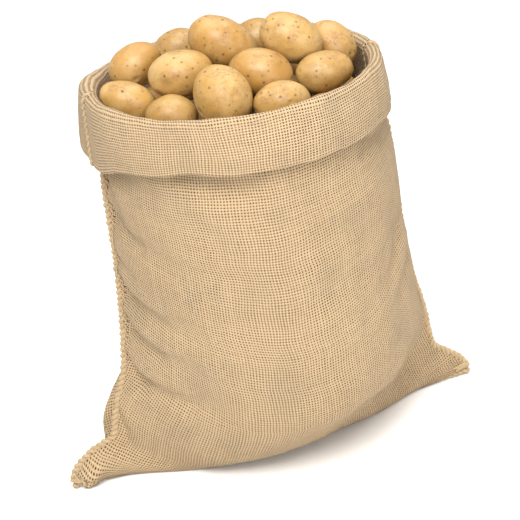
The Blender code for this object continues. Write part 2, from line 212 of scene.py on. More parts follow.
DEEP_POTATOES = (
    Potato(-65, -20, 307, 28, 18, -95, -10, 0.04),
    Potato(-43, -61, 313, 24, 20, -23, 2, 0.05),
    Potato(-1, -87, 323, 24, 18, -21, -3, -0.04),
    Potato(48, -87, 310, 27, 19, 5, -13, 0.04),
    Potato(83, -56, 319, 27, 20, 21, -14, -0.05),
    Potato(103, -13, 320, 26, 19, 105, 0, 0.04),
    Potato(95, 36, 330, 26, 19, 124, 3, 0.05),
    Potato(65, 74, 324, 24, 20, 160, 16, -0.04),
    Potato(19, 92, 336, 27, 18, 167, 5, 0.04),
    Potato(-28, 82, 324, 27, 20, 232, -8, 0.04),
    Potato(-61, 39, 329, 28, 18, 214, 17, -0.04),
    Potato(-24, 0, 318, 28, 18, 248, -7, 0.05),
    Potato(34, 37, 336, 24, 20, 159, 3, 0.04),
    Potato(37, -41, 311, 25, 19, 11, 9, 0.04),
    Potato(58, 0, 325, 26, 18, 75, 7, -0.04),
)


# Finishes


class Value:
    """One number in a finish's graph. Python's operators on it add Math nodes."""

    def __init__(self, graph: Graph, socket: bpy.types.NodeSocket) -> None:
        """Keeps the graph and the socket that gives the number."""
        self.graph = graph
        self.socket = socket

    def _math(self, operation: str, *numbers: Number) -> Value:
        """Adds a Math node.

        Args:
            operation: Blender's name of the sum.
            numbers: what it works on, in order.

        Returns:
            The node's answer.
        """
        node = self.graph.add("ShaderNodeMath", {"operation": operation}, dict(enumerate(numbers)))
        return Value(self.graph, node.outputs[0])

    def __add__(self, other: Number) -> Value:
        """self + other."""
        return self._math("ADD", self, other)

    def __radd__(self, other: Number) -> Value:
        """other + self."""
        return self._math("ADD", other, self)

    def __sub__(self, other: Number) -> Value:
        """self - other."""
        return self._math("SUBTRACT", self, other)

    def __rsub__(self, other: Number) -> Value:
        """other - self."""
        return self._math("SUBTRACT", other, self)

    def __mul__(self, other: Number) -> Value:
        """self * other."""
        return self._math("MULTIPLY", self, other)

    def __rmul__(self, other: Number) -> Value:
        """other * self."""
        return self._math("MULTIPLY", other, self)

    def __truediv__(self, other: Number) -> Value:
        """self / other."""
        return self._math("DIVIDE", self, other)

    def __pow__(self, other: Number) -> Value:
        """self ** other."""
        return self._math("POWER", self, other)

    def __mod__(self, other: Number) -> Value:
        """self % other, which is never negative."""
        return self._math("FLOORED_MODULO", self, other)

    def __gt__(self, other: Number) -> Value:
        """1 where self is more than other, and 0 elsewhere."""
        return self._math("GREATER_THAN", self, other)

    def floor(self) -> Value:
        """The whole number below."""
        return self._math("FLOOR", self)

    def sine(self) -> Value:
        """The sine, of radians."""
        return self._math("SINE", self)

    def root(self) -> Value:
        """The square root."""
        return self._math("SQRT", self)

    def size(self) -> Value:
        """The number without its sign."""
        return self._math("ABSOLUTE", self)

    def most(self, other: Number) -> Value:
        """The greater of two."""
        return self._math("MAXIMUM", self, other)

    def least(self, other: Number) -> Value:
        """The smaller of two."""
        return self._math("MINIMUM", self, other)

    def held(self) -> Value:
        """The number kept from 0 to 1."""
        return self.most(0.0).least(1.0)

    def step(self, low: float, high: float) -> Value:
        """A smooth climb from 0 at low to 1 at high."""
        node = self.graph.add(
            "ShaderNodeMapRange",
            {"interpolation_type": "SMOOTHSTEP"},
            {"Value": self, "From Min": low, "From Max": high, "To Min": 0.0, "To Max": 1.0},
        )
        return Value(self.graph, node.outputs["Result"])


Number = Union[Value, float]
Colour = Union[bpy.types.NodeSocket, Sequence[float]]


class Graph:
    """The nodes of one finish."""

    def __init__(self, name: str) -> None:
        """Makes a material that holds only a Principled shader and its output."""
        self.material = bpy.data.materials.new(name)
        self.material.use_nodes = True
        self.tree = self.material.node_tree
        self.shader = self.tree.nodes["Principled BSDF"]

    def add(
        self, kind: str, settings: dict[str, Any] | None = None, inputs: dict[Any, Any] | None = None
    ) -> bpy.types.Node:
        """Adds a node, its settings first and then its sockets.

        Args:
            kind: Blender's name of the node.
            settings: its own settings by name, where "stops" is a ramp's (place, colour) pairs.
            inputs: values, Values or sockets by the name or number of the node's socket.

        Returns:
            The node.
        """
        node = self.tree.nodes.new(kind)
        for name, value in (settings or {}).items():
            if name == "stops":
                ramp = node.color_ramp
                while len(ramp.elements) < len(value):
                    ramp.elements.new(0.5)
                for element, (place, colour) in zip(ramp.elements, value):
                    element.position = place
                    element.color = (*colour, 1.0)
            else:
                setattr(node, name, value)
        for key, value in (inputs or {}).items():
            self.feed(node.inputs[key], value)
        return node

    def feed(self, socket: bpy.types.NodeSocket, value: Any) -> None:
        """Links a socket to a Value or another socket, or sets it."""
        if isinstance(value, Value):
            self.tree.links.new(value.socket, socket)
        elif isinstance(value, bpy.types.NodeSocket):
            self.tree.links.new(value, socket)
        else:
            socket.default_value = value

    def split(self, vector: bpy.types.NodeSocket) -> tuple[Value, Value, Value]:
        """The three numbers of a vector."""
        node = self.add("ShaderNodeSeparateXYZ", inputs={"Vector": vector})
        return tuple(Value(self, output) for output in node.outputs)

    def joined(self, x: Number, y: Number, z: Number = 0.0) -> bpy.types.NodeSocket:
        """A vector of three numbers."""
        return self.add("ShaderNodeCombineXYZ", inputs={"X": x, "Y": y, "Z": z}).outputs[0]

    def map(self, name: str) -> tuple[Value, Value]:
        """The two coordinates of one of the piece's own maps."""
        node = self.add("ShaderNodeUVMap", {"uv_map": name})
        return self.split(node.outputs["UV"])[:2]

    def place(self) -> bpy.types.NodeSocket:
        """Where a point of the piece is, in metres."""
        return self.add("ShaderNodeTexCoord").outputs["Object"]

    def attribute(self, name: str) -> Value:
        """A number kept on the piece's points."""
        return Value(self, self.add("ShaderNodeAttribute", {"attribute_name": name}).outputs["Fac"])

    def grain(
        self, vector: bpy.types.NodeSocket, scale: float, detail: float = 2.0, rough: float = 0.5
    ) -> Value:
        """Soft noise, mostly from 0.3 to 0.7."""
        node = self.add(
            "ShaderNodeTexNoise",
            {"noise_dimensions": "3D"},
            {"Vector": vector, "Scale": scale, "Detail": detail, "Roughness": rough},
        )
        return Value(self, node.outputs[0])

    def cells(self, vector: bpy.types.NodeSocket, scale: float) -> tuple[Value, bpy.types.NodeSocket]:
        """Scattered cells: how far a point is from the middle of its own, and the cell's random colour."""
        sockets = {"Vector": vector, "Scale": scale, "Randomness": 1.0}
        node = self.add("ShaderNodeTexVoronoi", {"feature": "F1"}, sockets)
        return Value(self, node.outputs["Distance"]), node.outputs["Color"]

    def chance(self, number: Value, salt: float) -> Value:
        """A number from 0 to 1 that is the same wherever the given whole number is."""
        node = self.add("ShaderNodeTexWhiteNoise", {"noise_dimensions": "1D"}, {"W": number + salt})
        return Value(self, node.outputs["Value"])

    def blend(self, share: Number, first: Colour, second: Colour, way: str = "MIX") -> bpy.types.NodeSocket:
        """A mix of two colours.

        Args:
            share: 0 for the first colour and 1 for the second.
            first: a colour.
            second: the colour laid on it.
            way: Blender's name of the way they are laid.

        Returns:
            The mixed colour.
        """
        node = self.add("ShaderNodeMix", {"data_type": "RGBA", "blend_type": way, "clamp_factor": True})
        self.feed(node.inputs[0], share)
        for socket, colour in ((node.inputs[6], first), (node.inputs[7], second)):
            self.feed(socket, colour if isinstance(colour, bpy.types.NodeSocket) else (*colour, 1.0))
        return node.outputs[2]

    def dress(
        self, colour: Colour, roughness: Number, height: Value, depth: float, plain: dict[str, Any]
    ) -> bpy.types.Material:
        """Feeds the shader.

        Args:
            colour: the base colour.
            roughness: how dull the surface is.
            height: relief, from 0 to 1.
            depth: how high 1 of the relief is, in metres.
            plain: what is the same all over, by the name of the shader's socket.

        Returns:
            The material.
        """
        self.feed(self.shader.inputs["Base Color"], colour)
        self.feed(self.shader.inputs["Roughness"], roughness)
        bump = self.add("ShaderNodeBump", inputs={"Strength": 1.0, "Distance": depth, "Height": height})
        self.feed(self.shader.inputs["Normal"], bump.outputs["Normal"])
        for name, value in plain.items():
            self.shader.inputs[name].default_value = value
        return self.material


@dataclass(frozen=True)
class HessianFinish:
    """Open jute plain weave: uneven round threads, with painted shade in the holes and on the threads' low
    parts.
    """

    name: str
    light: tuple[float, float, float] = (0.56, 0.420, 0.260)
    tan: tuple[float, float, float] = (0.385, 0.268, 0.145)
    # brown of the darker fibres, also used as painted shade on the threads' low parts
    brown_and_shade: tuple[float, float, float] = (0.17, 0.098, 0.040)
    grey: tuple[float, float, float] = (0.37, 0.285, 0.180)
    # painted shade: the near-black shown in the holes between threads and in needle pricks
    hole_shade: tuple[float, float, float] = (0.042, 0.019, 0.006)
    pitch: float = 2.54 * MM
    half_thread: float = 0.272
    relief: float = 0.55 * MM
    stitch_pitch: float = 5.6 * MM
    stitch_inset: float = 5.0 * MM
    prick_radius: float = 0.5 * MM
    prick_reach: float = 1.5 * MM
    drift_threads: float = 3.2
    salt: float = 0.0

    def thread(
        self, graph: Graph, across: Value, along: Value, turn: float, salt: float
    ) -> tuple[Value, Value, Value]:
        """One set of threads.

        Args:
            graph: the finish's graph.
            across: place across the threads, in threads.
            along: place along them, in crossings.
            turn: 1 where the even threads go over first and -1 where the odd ones do.
            salt: keeps one set's chances apart from another's.

        Returns:
            The threads' height, their roundness from 0 at an edge to 1 in the middle, and their shade.
        """
        number = across.floor()
        offset = across - number - 0.5
        slub = graph.grain(graph.joined(number * 17.3 + salt, along * 0.16), 1.0, 1.5)
        width = self.half_thread - 0.08 + 0.06 * graph.chance(number, salt) + 0.16 * slub
        shift = (graph.grain(graph.joined(number * 9.1 + salt, along * 0.3, 4.0), 1.0, 0.0) - 0.5) * 0.22
        roundness = (1.0 - ((offset - shift) / width) ** 2).most(0.0).root()
        parity = 1.0 - 2.0 * (number % 2.0)
        crimp = parity * (along * math.pi).sine() * turn
        fibre = graph.grain(graph.joined(across * 7.0, along * 1.1, salt), 1.0, 2.0)
        knot = graph.chance(number * 57.0 + along.floor(), salt + 11.0)
        own = 0.10 + 0.16 * graph.chance(number, salt + 31.0)
        shade = own + 0.26 * knot + 0.5 * slub + 0.5 * (fibre - 0.5)
        return roundness * (0.62 + 0.38 * crimp), roundness, shade

    def make(self) -> bpy.types.Material:
        """Builds the finish.

        Returns:
            The material.
        """
        graph = Graph(self.name)
        x, y = graph.map(WEAVE_MAP)
        flat = graph.joined(x + self.salt, y)
        drift_x = (graph.grain(flat, 16.0, 2.0) - 0.5) * (self.drift_threads * self.pitch)
        elsewhere = graph.joined(x + self.salt, y, 3.0)
        drift_y = (graph.grain(elsewhere, 13.0, 2.0) - 0.5) * (self.drift_threads * self.pitch)
        across = (x + drift_x) / self.pitch + THREADS_ASIDE
        along = (y + drift_y) / self.pitch + THREADS_ASIDE
        warp, warp_round, warp_shade = self.thread(graph, across, along, 1.0, 5.0 + self.salt)
        weft, weft_round, weft_shade = self.thread(graph, along, across, -1.0, 71.0 + self.salt)
        over = warp > weft
        height = warp.most(weft)
        shade = (over * warp_shade + (1.0 - over) * weft_shade).held()
        cover = warp_round.most(weft_round)
        patch = graph.grain(flat, 9.0, 3.0, 0.6)
        worn = graph.grain(graph.joined(x + self.salt, y, 9.0), 24.0, 3.0, 0.6)
        yarn = graph.blend((shade * 0.85 + (patch - 0.5) * 0.5).held(), self.light, self.tan)
        yarn = graph.blend(((shade - 0.72) * 1.6).held(), yarn, self.brown_and_shade)
        yarn = graph.blend((worn.step(0.48, 0.68) * 0.45).held(), yarn, self.grey)
        # Painted shade: where a thread dips low under its neighbour, its colour is darkened towards brown.
        lit = height.step(-0.05, 0.72)
        colour = graph.blend((1.0 - lit) * 0.66, yarn, self.brown_and_shade)
        # Painted shade: where no thread covers the cloth, the hole is painted near-black.
        colour = graph.blend(1.0 - cover.step(0.02, 0.50), colour, self.hole_shade)
        # Painted shade: the needle pricks along the side seams are painted near-black.
        colour = graph.blend(self.needle_hole_shade(graph) * 0.8, colour, self.hole_shade)
        fuzz = graph.grain(graph.joined(across, along), 3.0, 3.0, 0.7)
        relief = height + 0.14 * (fuzz - 0.5)
        plain = {"Specular IOR Level": 0.12, "Sheen Weight": 0.05, "Sheen Roughness": 0.6}
        return graph.dress(colour, 0.86 + 0.10 * fuzz, relief, self.relief, plain)

    def needle_hole_shade(self, graph: Graph) -> Value:
        """Where painted shade goes in the row of pricks along the side seams: 1 in a prick and 0 elsewhere.
        """
        inset, length = graph.map(SEAM_MAP)
        place = length / self.stitch_pitch
        off = (place - place.floor() - 0.5) * self.stitch_pitch
        apart = ((inset - self.stitch_inset) ** 2 + off**2).root()
        return 1.0 - apart.step(self.prick_radius, self.prick_reach)


@dataclass(frozen=True)
class TwineFinish:
    """Soft jute twine, its fibres lying along the twist, with painted shade where a piece marks hollows."""

    name: str
    light: tuple[float, float, float] = (0.49, 0.365, 0.222)
    tan: tuple[float, float, float] = (0.33, 0.228, 0.120)
    # painted shade in the hollows of the twine
    brown_and_shade: tuple[float, float, float] = (0.12, 0.068, 0.028)
    fibre_density: float = 1900.0
    relief: float = 0.35 * MM

    def make(self) -> bpy.types.Material:
        """Builds the finish.

        Returns:
            The material.
        """
        graph = Graph(self.name)
        place = graph.place()
        x, y, z = graph.split(place)
        streak = graph.grain(graph.joined(x + z * 0.6, y * 0.7, z * 0.35), self.fibre_density, 2.0, 0.6)
        patch = graph.grain(place, 90.0, 2.0)
        hollow = graph.attribute(HOLLOW_SHADE_ATTRIBUTE)
        colour = graph.blend((streak * 1.3 - 0.25 + (patch - 0.5)).held(), self.light, self.tan)
        # Painted shade: the twine darkens towards brown in its hollows.
        colour = graph.blend(hollow.step(0.20, 1.0) * 0.70, colour, self.brown_and_shade)
        plain = {"Specular IOR Level": 0.15, "Sheen Weight": 0.06, "Sheen Roughness": 0.6}
        return graph.dress(colour, 0.78 + 0.14 * streak, streak, self.relief, plain)


@dataclass(frozen=True)
class SkinFinish:
    """Washed potato skin: smooth yellow tan, with specks, netted rubbed patches and darker eyes."""

    name: str
    gold: tuple[float, float, float] = (0.385, 0.212, 0.050)
    pale: tuple[float, float, float] = (0.46, 0.292, 0.104)
    russet: tuple[float, float, float] = (0.24, 0.118, 0.038)
    speck: tuple[float, float, float] = (0.085, 0.040, 0.018)
    speck_density: float = 165.0
    pore_density: float = 430.0
    relief: float = 0.22 * MM
    salt: float = 0.0

    def make(self) -> bpy.types.Material:
        """Builds the finish.

        Returns:
            The material.
        """
        graph = Graph(self.name)
        x, y, z = graph.split(graph.place())
        place = graph.joined(x + self.salt, y - self.salt, z)
        broad = graph.grain(place, 34.0, 3.0, 0.6)
        netted = graph.grain(place, 70.0, 4.0, 0.7)
        fine = graph.grain(place, 620.0, 4.0, 0.75)
        distance, tint = graph.cells(place, self.speck_density)
        chance = graph.split(tint)[0]
        dot = (1.0 - distance.step(0.07, 0.30)) * (chance > 0.46) * (0.30 + 0.70 * chance)
        distance, tint = graph.cells(place, self.pore_density)
        pores = (1.0 - distance.step(0.05, 0.32)) * (graph.split(tint)[1] > 0.45)
        eye = graph.attribute(EYE_ATTRIBUTE)
        colour = graph.blend(broad.step(0.36, 0.66), self.gold, self.pale)
        rubbed = netted.step(0.47, 0.66) * fine.step(0.38, 0.60)
        blotch = graph.grain(graph.joined(x - self.salt, y, z + self.salt), 52.0, 4.0, 0.65)
        colour = graph.blend(blotch.step(0.50, 0.72) * 0.42, colour, self.russet)
        colour = graph.blend(rubbed * 0.62, colour, self.russet)
        colour = graph.blend((fine - 0.5).size() * 0.9, colour, self.russet)
        colour = graph.blend(pores * 0.55, colour, self.russet)
        colour = graph.blend(dot * 0.85, colour, self.speck)
        colour = graph.blend(eye.step(0.25, 1.0) * 0.8, colour, self.speck)
        height = 0.6 * fine + 0.5 * broad - 0.35 * dot - 0.2 * pores
        roughness = (0.32 + 0.24 * rubbed + 0.18 * fine + 0.2 * dot).held()
        plain = {"Specular IOR Level": 0.50, "Subsurface Weight": 0.06, "Subsurface Scale": 0.004}
        return graph.dress(colour, roughness, height, self.relief, plain)


@dataclass(frozen=True)
class PlainFinish:
    """A pale, dull surface for the floor."""

    name: str
    shade: float
    roughness: float = 0.9
    specular: float = 0.1

    def make(self) -> bpy.types.Material:
        """Builds the finish."""
        graph = Graph(self.name)
        graph.shader.inputs["Base Color"].default_value = (self.shade, self.shade, self.shade, 1.0)
        graph.shader.inputs["Roughness"].default_value = self.roughness
        graph.shader.inputs["Specular IOR Level"].default_value = self.specular
        return graph.material


# Modelling


def start_piece() -> None:
    """Leaves nothing selected, so that an operator acts only on what it makes."""
    if bpy.context.object is not None and bpy.context.object.mode != "OBJECT":
        bpy.ops.object.mode_set(mode="OBJECT")
    bpy.ops.object.select_all(action="DESELECT")


def choose(obj: bpy.types.Object) -> None:
    """Makes one object the selected and active one."""
    start_piece()
    obj.select_set(True)
    bpy.context.view_layer.objects.active = obj


def points_of(mesh: bpy.types.Mesh) -> np.ndarray:
    """Every point of a mesh, as rows of x, y and z."""
    found = np.empty(len(mesh.vertices) * 3)
    mesh.vertices.foreach_get("co", found)
    return found.reshape(-1, 3)


def set_points(mesh: bpy.types.Mesh, places: np.ndarray) -> None:
    """Puts a mesh's points at these places."""
    mesh.vertices.foreach_set("co", np.ascontiguousarray(places, np.float32).ravel())
    mesh.update()


def set_map(mesh: bpy.types.Mesh, name: str, corners: np.ndarray) -> None:
    """Writes a UV map, a row for each face corner."""
    layer = mesh.uv_layers.get(name) or mesh.uv_layers.new(name=name)
    layer.uv.foreach_set("vector", np.ascontiguousarray(corners, np.float32).ravel())


def corner_points(mesh: bpy.types.Mesh) -> np.ndarray:
    """The point that each face corner is on."""
    found = np.empty(len(mesh.loops), np.int32)
    mesh.loops.foreach_get("vertex_index", found)
    return found


def set_number(mesh: bpy.types.Mesh, name: str, values: np.ndarray) -> None:
    """Keeps a number on every point of a mesh."""
    attribute = mesh.attributes.get(name) or mesh.attributes.new(name, "FLOAT", "POINT")
    attribute.data.foreach_set("value", np.ascontiguousarray(values, np.float32))


def add_grid(name: str, columns: int, rows: int) -> tuple[bpy.types.Object, np.ndarray, np.ndarray]:
    """Adds a flat grid to be shaped.

    Args:
        name: the piece's name.
        columns: faces across.
        rows: faces along.

    Returns:
        The piece, and each point's column and row.
    """
    start_piece()
    bpy.ops.mesh.primitive_grid_add(x_subdivisions=columns, y_subdivisions=rows, size=2.0)
    obj = bpy.context.object
    obj.name = obj.data.name = name
    flat = points_of(obj.data)
    column = np.rint((flat[:, 0] + 1.0) / 2.0 * columns).astype(int)
    row = np.rint((flat[:, 1] + 1.0) / 2.0 * rows).astype(int)
    for layer in list(obj.data.uv_layers):
        obj.data.uv_layers.remove(layer)
    return obj, column, row


def gathered(name: str, master: bpy.types.Object, places: Sequence[Matrix]) -> bpy.types.Object:
    """Copies one shape to many places and joins the copies into one piece.

    Args:
        name: the piece's name.
        master: the shape, which is used up.
        places: where each copy goes.

    Returns:
        The piece, at the origin.
    """
    copies = []
    for place in places:
        copy = master.copy()
        copy.data = master.data.copy()
        copy.data.transform(place)
        bpy.context.scene.collection.objects.link(copy)
        copies.append(copy)
    bpy.data.objects.remove(master, do_unlink=True)
    start_piece()
    for copy in copies:
        copy.select_set(True)
    bpy.context.view_layer.objects.active = copies[0]
    bpy.ops.object.join()
    piece = bpy.context.object
    piece.name = piece.data.name = name
    return piece


def frame_matrix(place: np.ndarray, along: np.ndarray, up: np.ndarray) -> Matrix:
    """A place whose X points along and whose Z points roughly up from the surface."""
    x = Vector(along).normalized()
    y = Vector(up).cross(x).normalized()
    z = x.cross(y)
    turn = Matrix((x, y, z)).transposed().to_4x4()
    return Matrix.Translation(Vector(place)) @ turn


def finish_piece(
    piece: bpy.types.Object, finish: bpy.types.Material, replaced: Sequence[str] = ()
) -> None:
    """Dresses a piece, puts it on the frame and reports it.

    Args:
        piece: the piece.
        finish: its material.
        replaced: the frame's nodes that it stands for.
    """
    piece.data.materials.clear()
    piece.data.materials.append(finish)
    choose(piece)
    bpy.ops.object.shade_smooth()
    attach(piece, BODY)
    if replaced:
        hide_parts(*replaced)
    triangles = sum(len(face.vertices) - 2 for face in piece.data.polygons)
    log.info("%s: %d triangles", piece.name, triangles)


def smooth_curve(stations: Sequence[float], values: Sequence[float], where: float) -> float:
    """A smooth curve through the values that never overshoots them.

    Args:
        stations: where the values stand, rising.
        values: one for each station.
        where: the place asked for.

    Returns:
        The curve's value there.
    """
    steps = np.diff(stations)
    secants = np.diff(values) / steps
    slopes = np.concatenate([secants[:1], np.zeros(len(secants) - 1), secants[-1:]])
    for i in range(1, len(secants)):
        before, after = secants[i - 1], secants[i]
        if before * after > 0:
            slopes[i] = 2 * before * after / (before + after)
    k = int(np.clip(np.searchsorted(stations, where, side="right") - 1, 0, len(steps) - 1))
    t = (min(max(where, stations[0]), stations[-1]) - stations[k]) / steps[k]
    return float(
        (2 * t**3 - 3 * t**2 + 1) * values[k]
        + (t**3 - 2 * t**2 + t) * steps[k] * slopes[k]
        + (3 * t**2 - 2 * t**3) * values[k + 1]
        + (t**3 - t**2) * steps[k] * slopes[k + 1]
    )


def unit(vectors: np.ndarray) -> np.ndarray:
    """Vectors made one long, along the last axis."""
    return vectors / np.maximum(np.linalg.norm(vectors, axis=-1, keepdims=True), 1e-12)


def lengths_along(places: np.ndarray) -> np.ndarray:
    """How far along a line each of its points is."""
    return np.concatenate([[0.0], np.cumsum(np.linalg.norm(np.diff(places, axis=0), axis=1))])


# The sack


@dataclass(frozen=True)
class SackForm:
    """The sack's shape, as a sheet of points that the panels, seams and fibres are made from."""

    side_gap: float = 1.0 * MM
    ridge_height: float = 2.7 * MM
    edge_reach: float = 4.2 * MM
    first_run: float = 16.0
    fold_radius_middle: float = 4.5 * MM
    fold_radius_side: float = 5.5 * MM
    drop_middle: float = 45 * MM
    drop_left: float = 62 * MM
    drop_right: float = 46 * MM
    drop_power: float = 10.0
    flare_middle: float = 5 * MM
    flare_side: float = 3 * MM
    plumpness: float = 2.2 * MM
    unevenness: float = 4.0 * MM
    hem_radius_middle: float = 2.5 * MM
    hem_radius_side: float = 1.8 * MM
    hem_depth: float = 15 * MM
    puff: float = 2.5 * MM
    puff_u: float = -0.84
    puff_width: float = 0.12
    puff_flare: float = 6 * MM
    haunch_out: float = 25 * MM
    haunch_u: float = -0.80
    haunch_width: float = 0.09
    haunch_z: float = 50 * MM
    haunch_height: float = 34 * MM
    haunch_fade: int = 8
    tuck: float = 0.20
    tuck_u: float = 0.22
    tuck_width: float = 0.38
    tuck_height: float = 46 * MM
    ear_puff: float = 11 * MM
    ear_sink: float = 0.95
    ear_u: float = -0.82
    ear_width: float = 0.13
    ear_run: float = 26.0
    ear_run_width: float = 18.0
    ear_fade: int = 30
    foot_twist: float = math.radians(5.5)
    twist_height: float = 300 * MM
    half_panel: float = 0.20
    rise_power: float = 1.8

    def level(self, run: float) -> dict[str, float]:
        """The measures of the section at one run, in metres."""
        runs = [level.run for level in LEVELS]
        measures = {}
        for name in Level._fields[1:]:
            scale = 1.0 if name in PLAIN_MEASURES else MM
            measures[name] = scale * smooth_curve(runs, [getattr(level, name) for level in LEVELS], run)
        return measures

    def rise(self, across: np.ndarray, flat: float) -> np.ndarray:
        """How far points have climbed from the panel's middle towards its seam, from 0 to 1."""
        return np.maximum(0.0, (np.abs(across) - flat) / (1.0 - flat)) ** self.rise_power

    def body_row(self, u: np.ndarray, run: float, side: Side) -> np.ndarray:
        """One row of the sack's body, before the foot is turned.

        Args:
            u: from -1 at the left seam to 1 at the right one.
            run: how far up the cloth the row is.
            side: the panel.

        Returns:
            A point for each u.
        """
        level = self.level(run)
        bow = level["bow"] if side is Side.FRONT else level["back_bow"]
        across = np.sin(u * math.pi / 2)
        side_z = np.where(u < 0, level["z_left"], level["z_right"])
        x = level["x_middle"] + level["half_width"] * across
        depth = level["depth"] * np.maximum(0.0, 1.0 - across**2) ** bow
        z = level["z_middle"] + (side_z - level["z_middle"]) * self.rise(across, level["flat"])
        if side is Side.BACK:
            spread = ((u - self.haunch_u) / self.haunch_width) ** 2
            spread = spread + ((z - self.haunch_z) / self.haunch_height) ** 2
            x = x - self.haunch_out * np.exp(-spread) * (1.0 - u**self.haunch_fade)
        else:
            around = np.exp(-(((u - self.tuck_u) / self.tuck_width) ** 2) - (z / self.tuck_height) ** 4)
            depth = depth * (1.0 - self.tuck * around)
            ear = np.exp(-(((u - self.ear_u) / self.ear_width) ** 2)) * (1.0 - u**self.ear_fade)
            near = math.exp(-(((run - self.ear_run) / self.ear_run_width) ** 2))
            depth = depth + self.ear_puff * ear * near
            z = z * (1.0 - self.ear_sink * ear * math.exp(-((run / self.ear_run) ** 4)))
        return np.stack([x, side.value * (self.side_gap + depth), z], axis=-1)

    def bottom_row(self, u: np.ndarray, side: Side) -> np.ndarray:
        """The lower edge, which climbs round the bottom seam from its side to above it at the ears."""
        level = self.level(0.0)
        across = np.sin(u * math.pi / 2)
        lowest = math.asin((level["z_middle"] - self.ridge_height) / self.edge_reach)
        highest = math.acos(self.side_gap / self.edge_reach)
        turn = lowest + (highest - lowest) * self.rise(across, level["flat"])
        x = level["x_middle"] + level["half_width"] * across
        y = side.value * self.edge_reach * np.cos(turn)
        return np.stack([x, y, self.ridge_height + self.edge_reach * np.sin(turn)], axis=-1)

    def cuff_steps(self, u: np.ndarray, side: Side, counts: tuple[int, int, int, int]) -> tuple[list, list]:
        """The rolled mouth, as steps outward and upward from the rim.

        Args:
            u: the columns.
            side: the panel.
            counts: rows in the roll, the fall, the hem's turn and the hem.

        Returns:
            (outward, upward) rows, and how far each is along the cloth past the rim.
        """
        side_share = np.sin(u * math.pi / 2) ** 2
        radius = self.fold_radius_middle + (self.fold_radius_side - self.fold_radius_middle) * side_share
        flare = self.flare_middle + (self.flare_side - self.flare_middle) * side_share
        if side is Side.BACK:
            corner = np.exp(-(((u - self.puff_u) / self.puff_width) ** 2)) * (1 - u**12)
            radius = radius + self.puff * corner
            flare = flare + self.puff_flare * corner
        drop_side = np.where(u < 0, self.drop_left, self.drop_right)
        lowered = np.abs(np.sin(u * math.pi / 2)) ** self.drop_power
        drop = self.drop_middle + (drop_side - self.drop_middle) * lowered
        unevenness = np.array([noise.noise(Vector((value * 4.0, side.value * 3.0, 0.5))) for value in u])
        drop = drop + self.unevenness * unevenness * (1.0 - u**8)
        rows, runs, travelled = [], [], 0.0
        for step in range(1, counts[0] + 1):
            angle = math.pi * (1 - step / counts[0])
            rows.append((radius + radius * math.cos(angle), radius * math.sin(angle)))
            runs.append(math.pi * self.fold_radius_middle * step / counts[0])
        travelled = runs[-1]
        hem = self.hem_radius_middle + (self.hem_radius_side - self.hem_radius_middle) * side_share
        hem_z = radius - drop + hem
        for step in range(1, counts[1] + 1):
            part = step / counts[1]
            belly = self.plumpness * math.sin(math.pi * part) * (1.0 - u**6)
            rows.append((2 * radius + flare * part + belly, hem_z * part))
            runs.append(travelled + self.drop_middle * part)
        travelled = runs[-1]
        hem_middle = 2 * radius + flare - hem
        for step in range(1, counts[2] + 1):
            angle = -math.pi * step / counts[2]
            rows.append((hem_middle + hem * math.cos(angle), hem_z + hem * math.sin(angle)))
            runs.append(travelled + math.pi * self.hem_radius_middle * step / counts[2])
        travelled = runs[-1]
        for step in range(1, counts[3] + 1):
            part = step / counts[3]
            rows.append((hem_middle - hem, hem_z + self.hem_depth * part))
            runs.append(travelled + self.hem_depth * part)
        return rows, runs

    def twisted(self, places: np.ndarray) -> np.ndarray:
        """Points after the foot has been turned against the mouth."""
        part = np.clip(places[..., 2] / self.twist_height, 0.0, 1.0)
        angle = self.foot_twist * (1.0 - part * part * (3.0 - 2.0 * part))
        x = places[..., 0] * np.cos(angle) - places[..., 1] * np.sin(angle)
        y = places[..., 0] * np.sin(angle) + places[..., 1] * np.cos(angle)
        return np.stack([x, y, places[..., 2]], axis=-1)


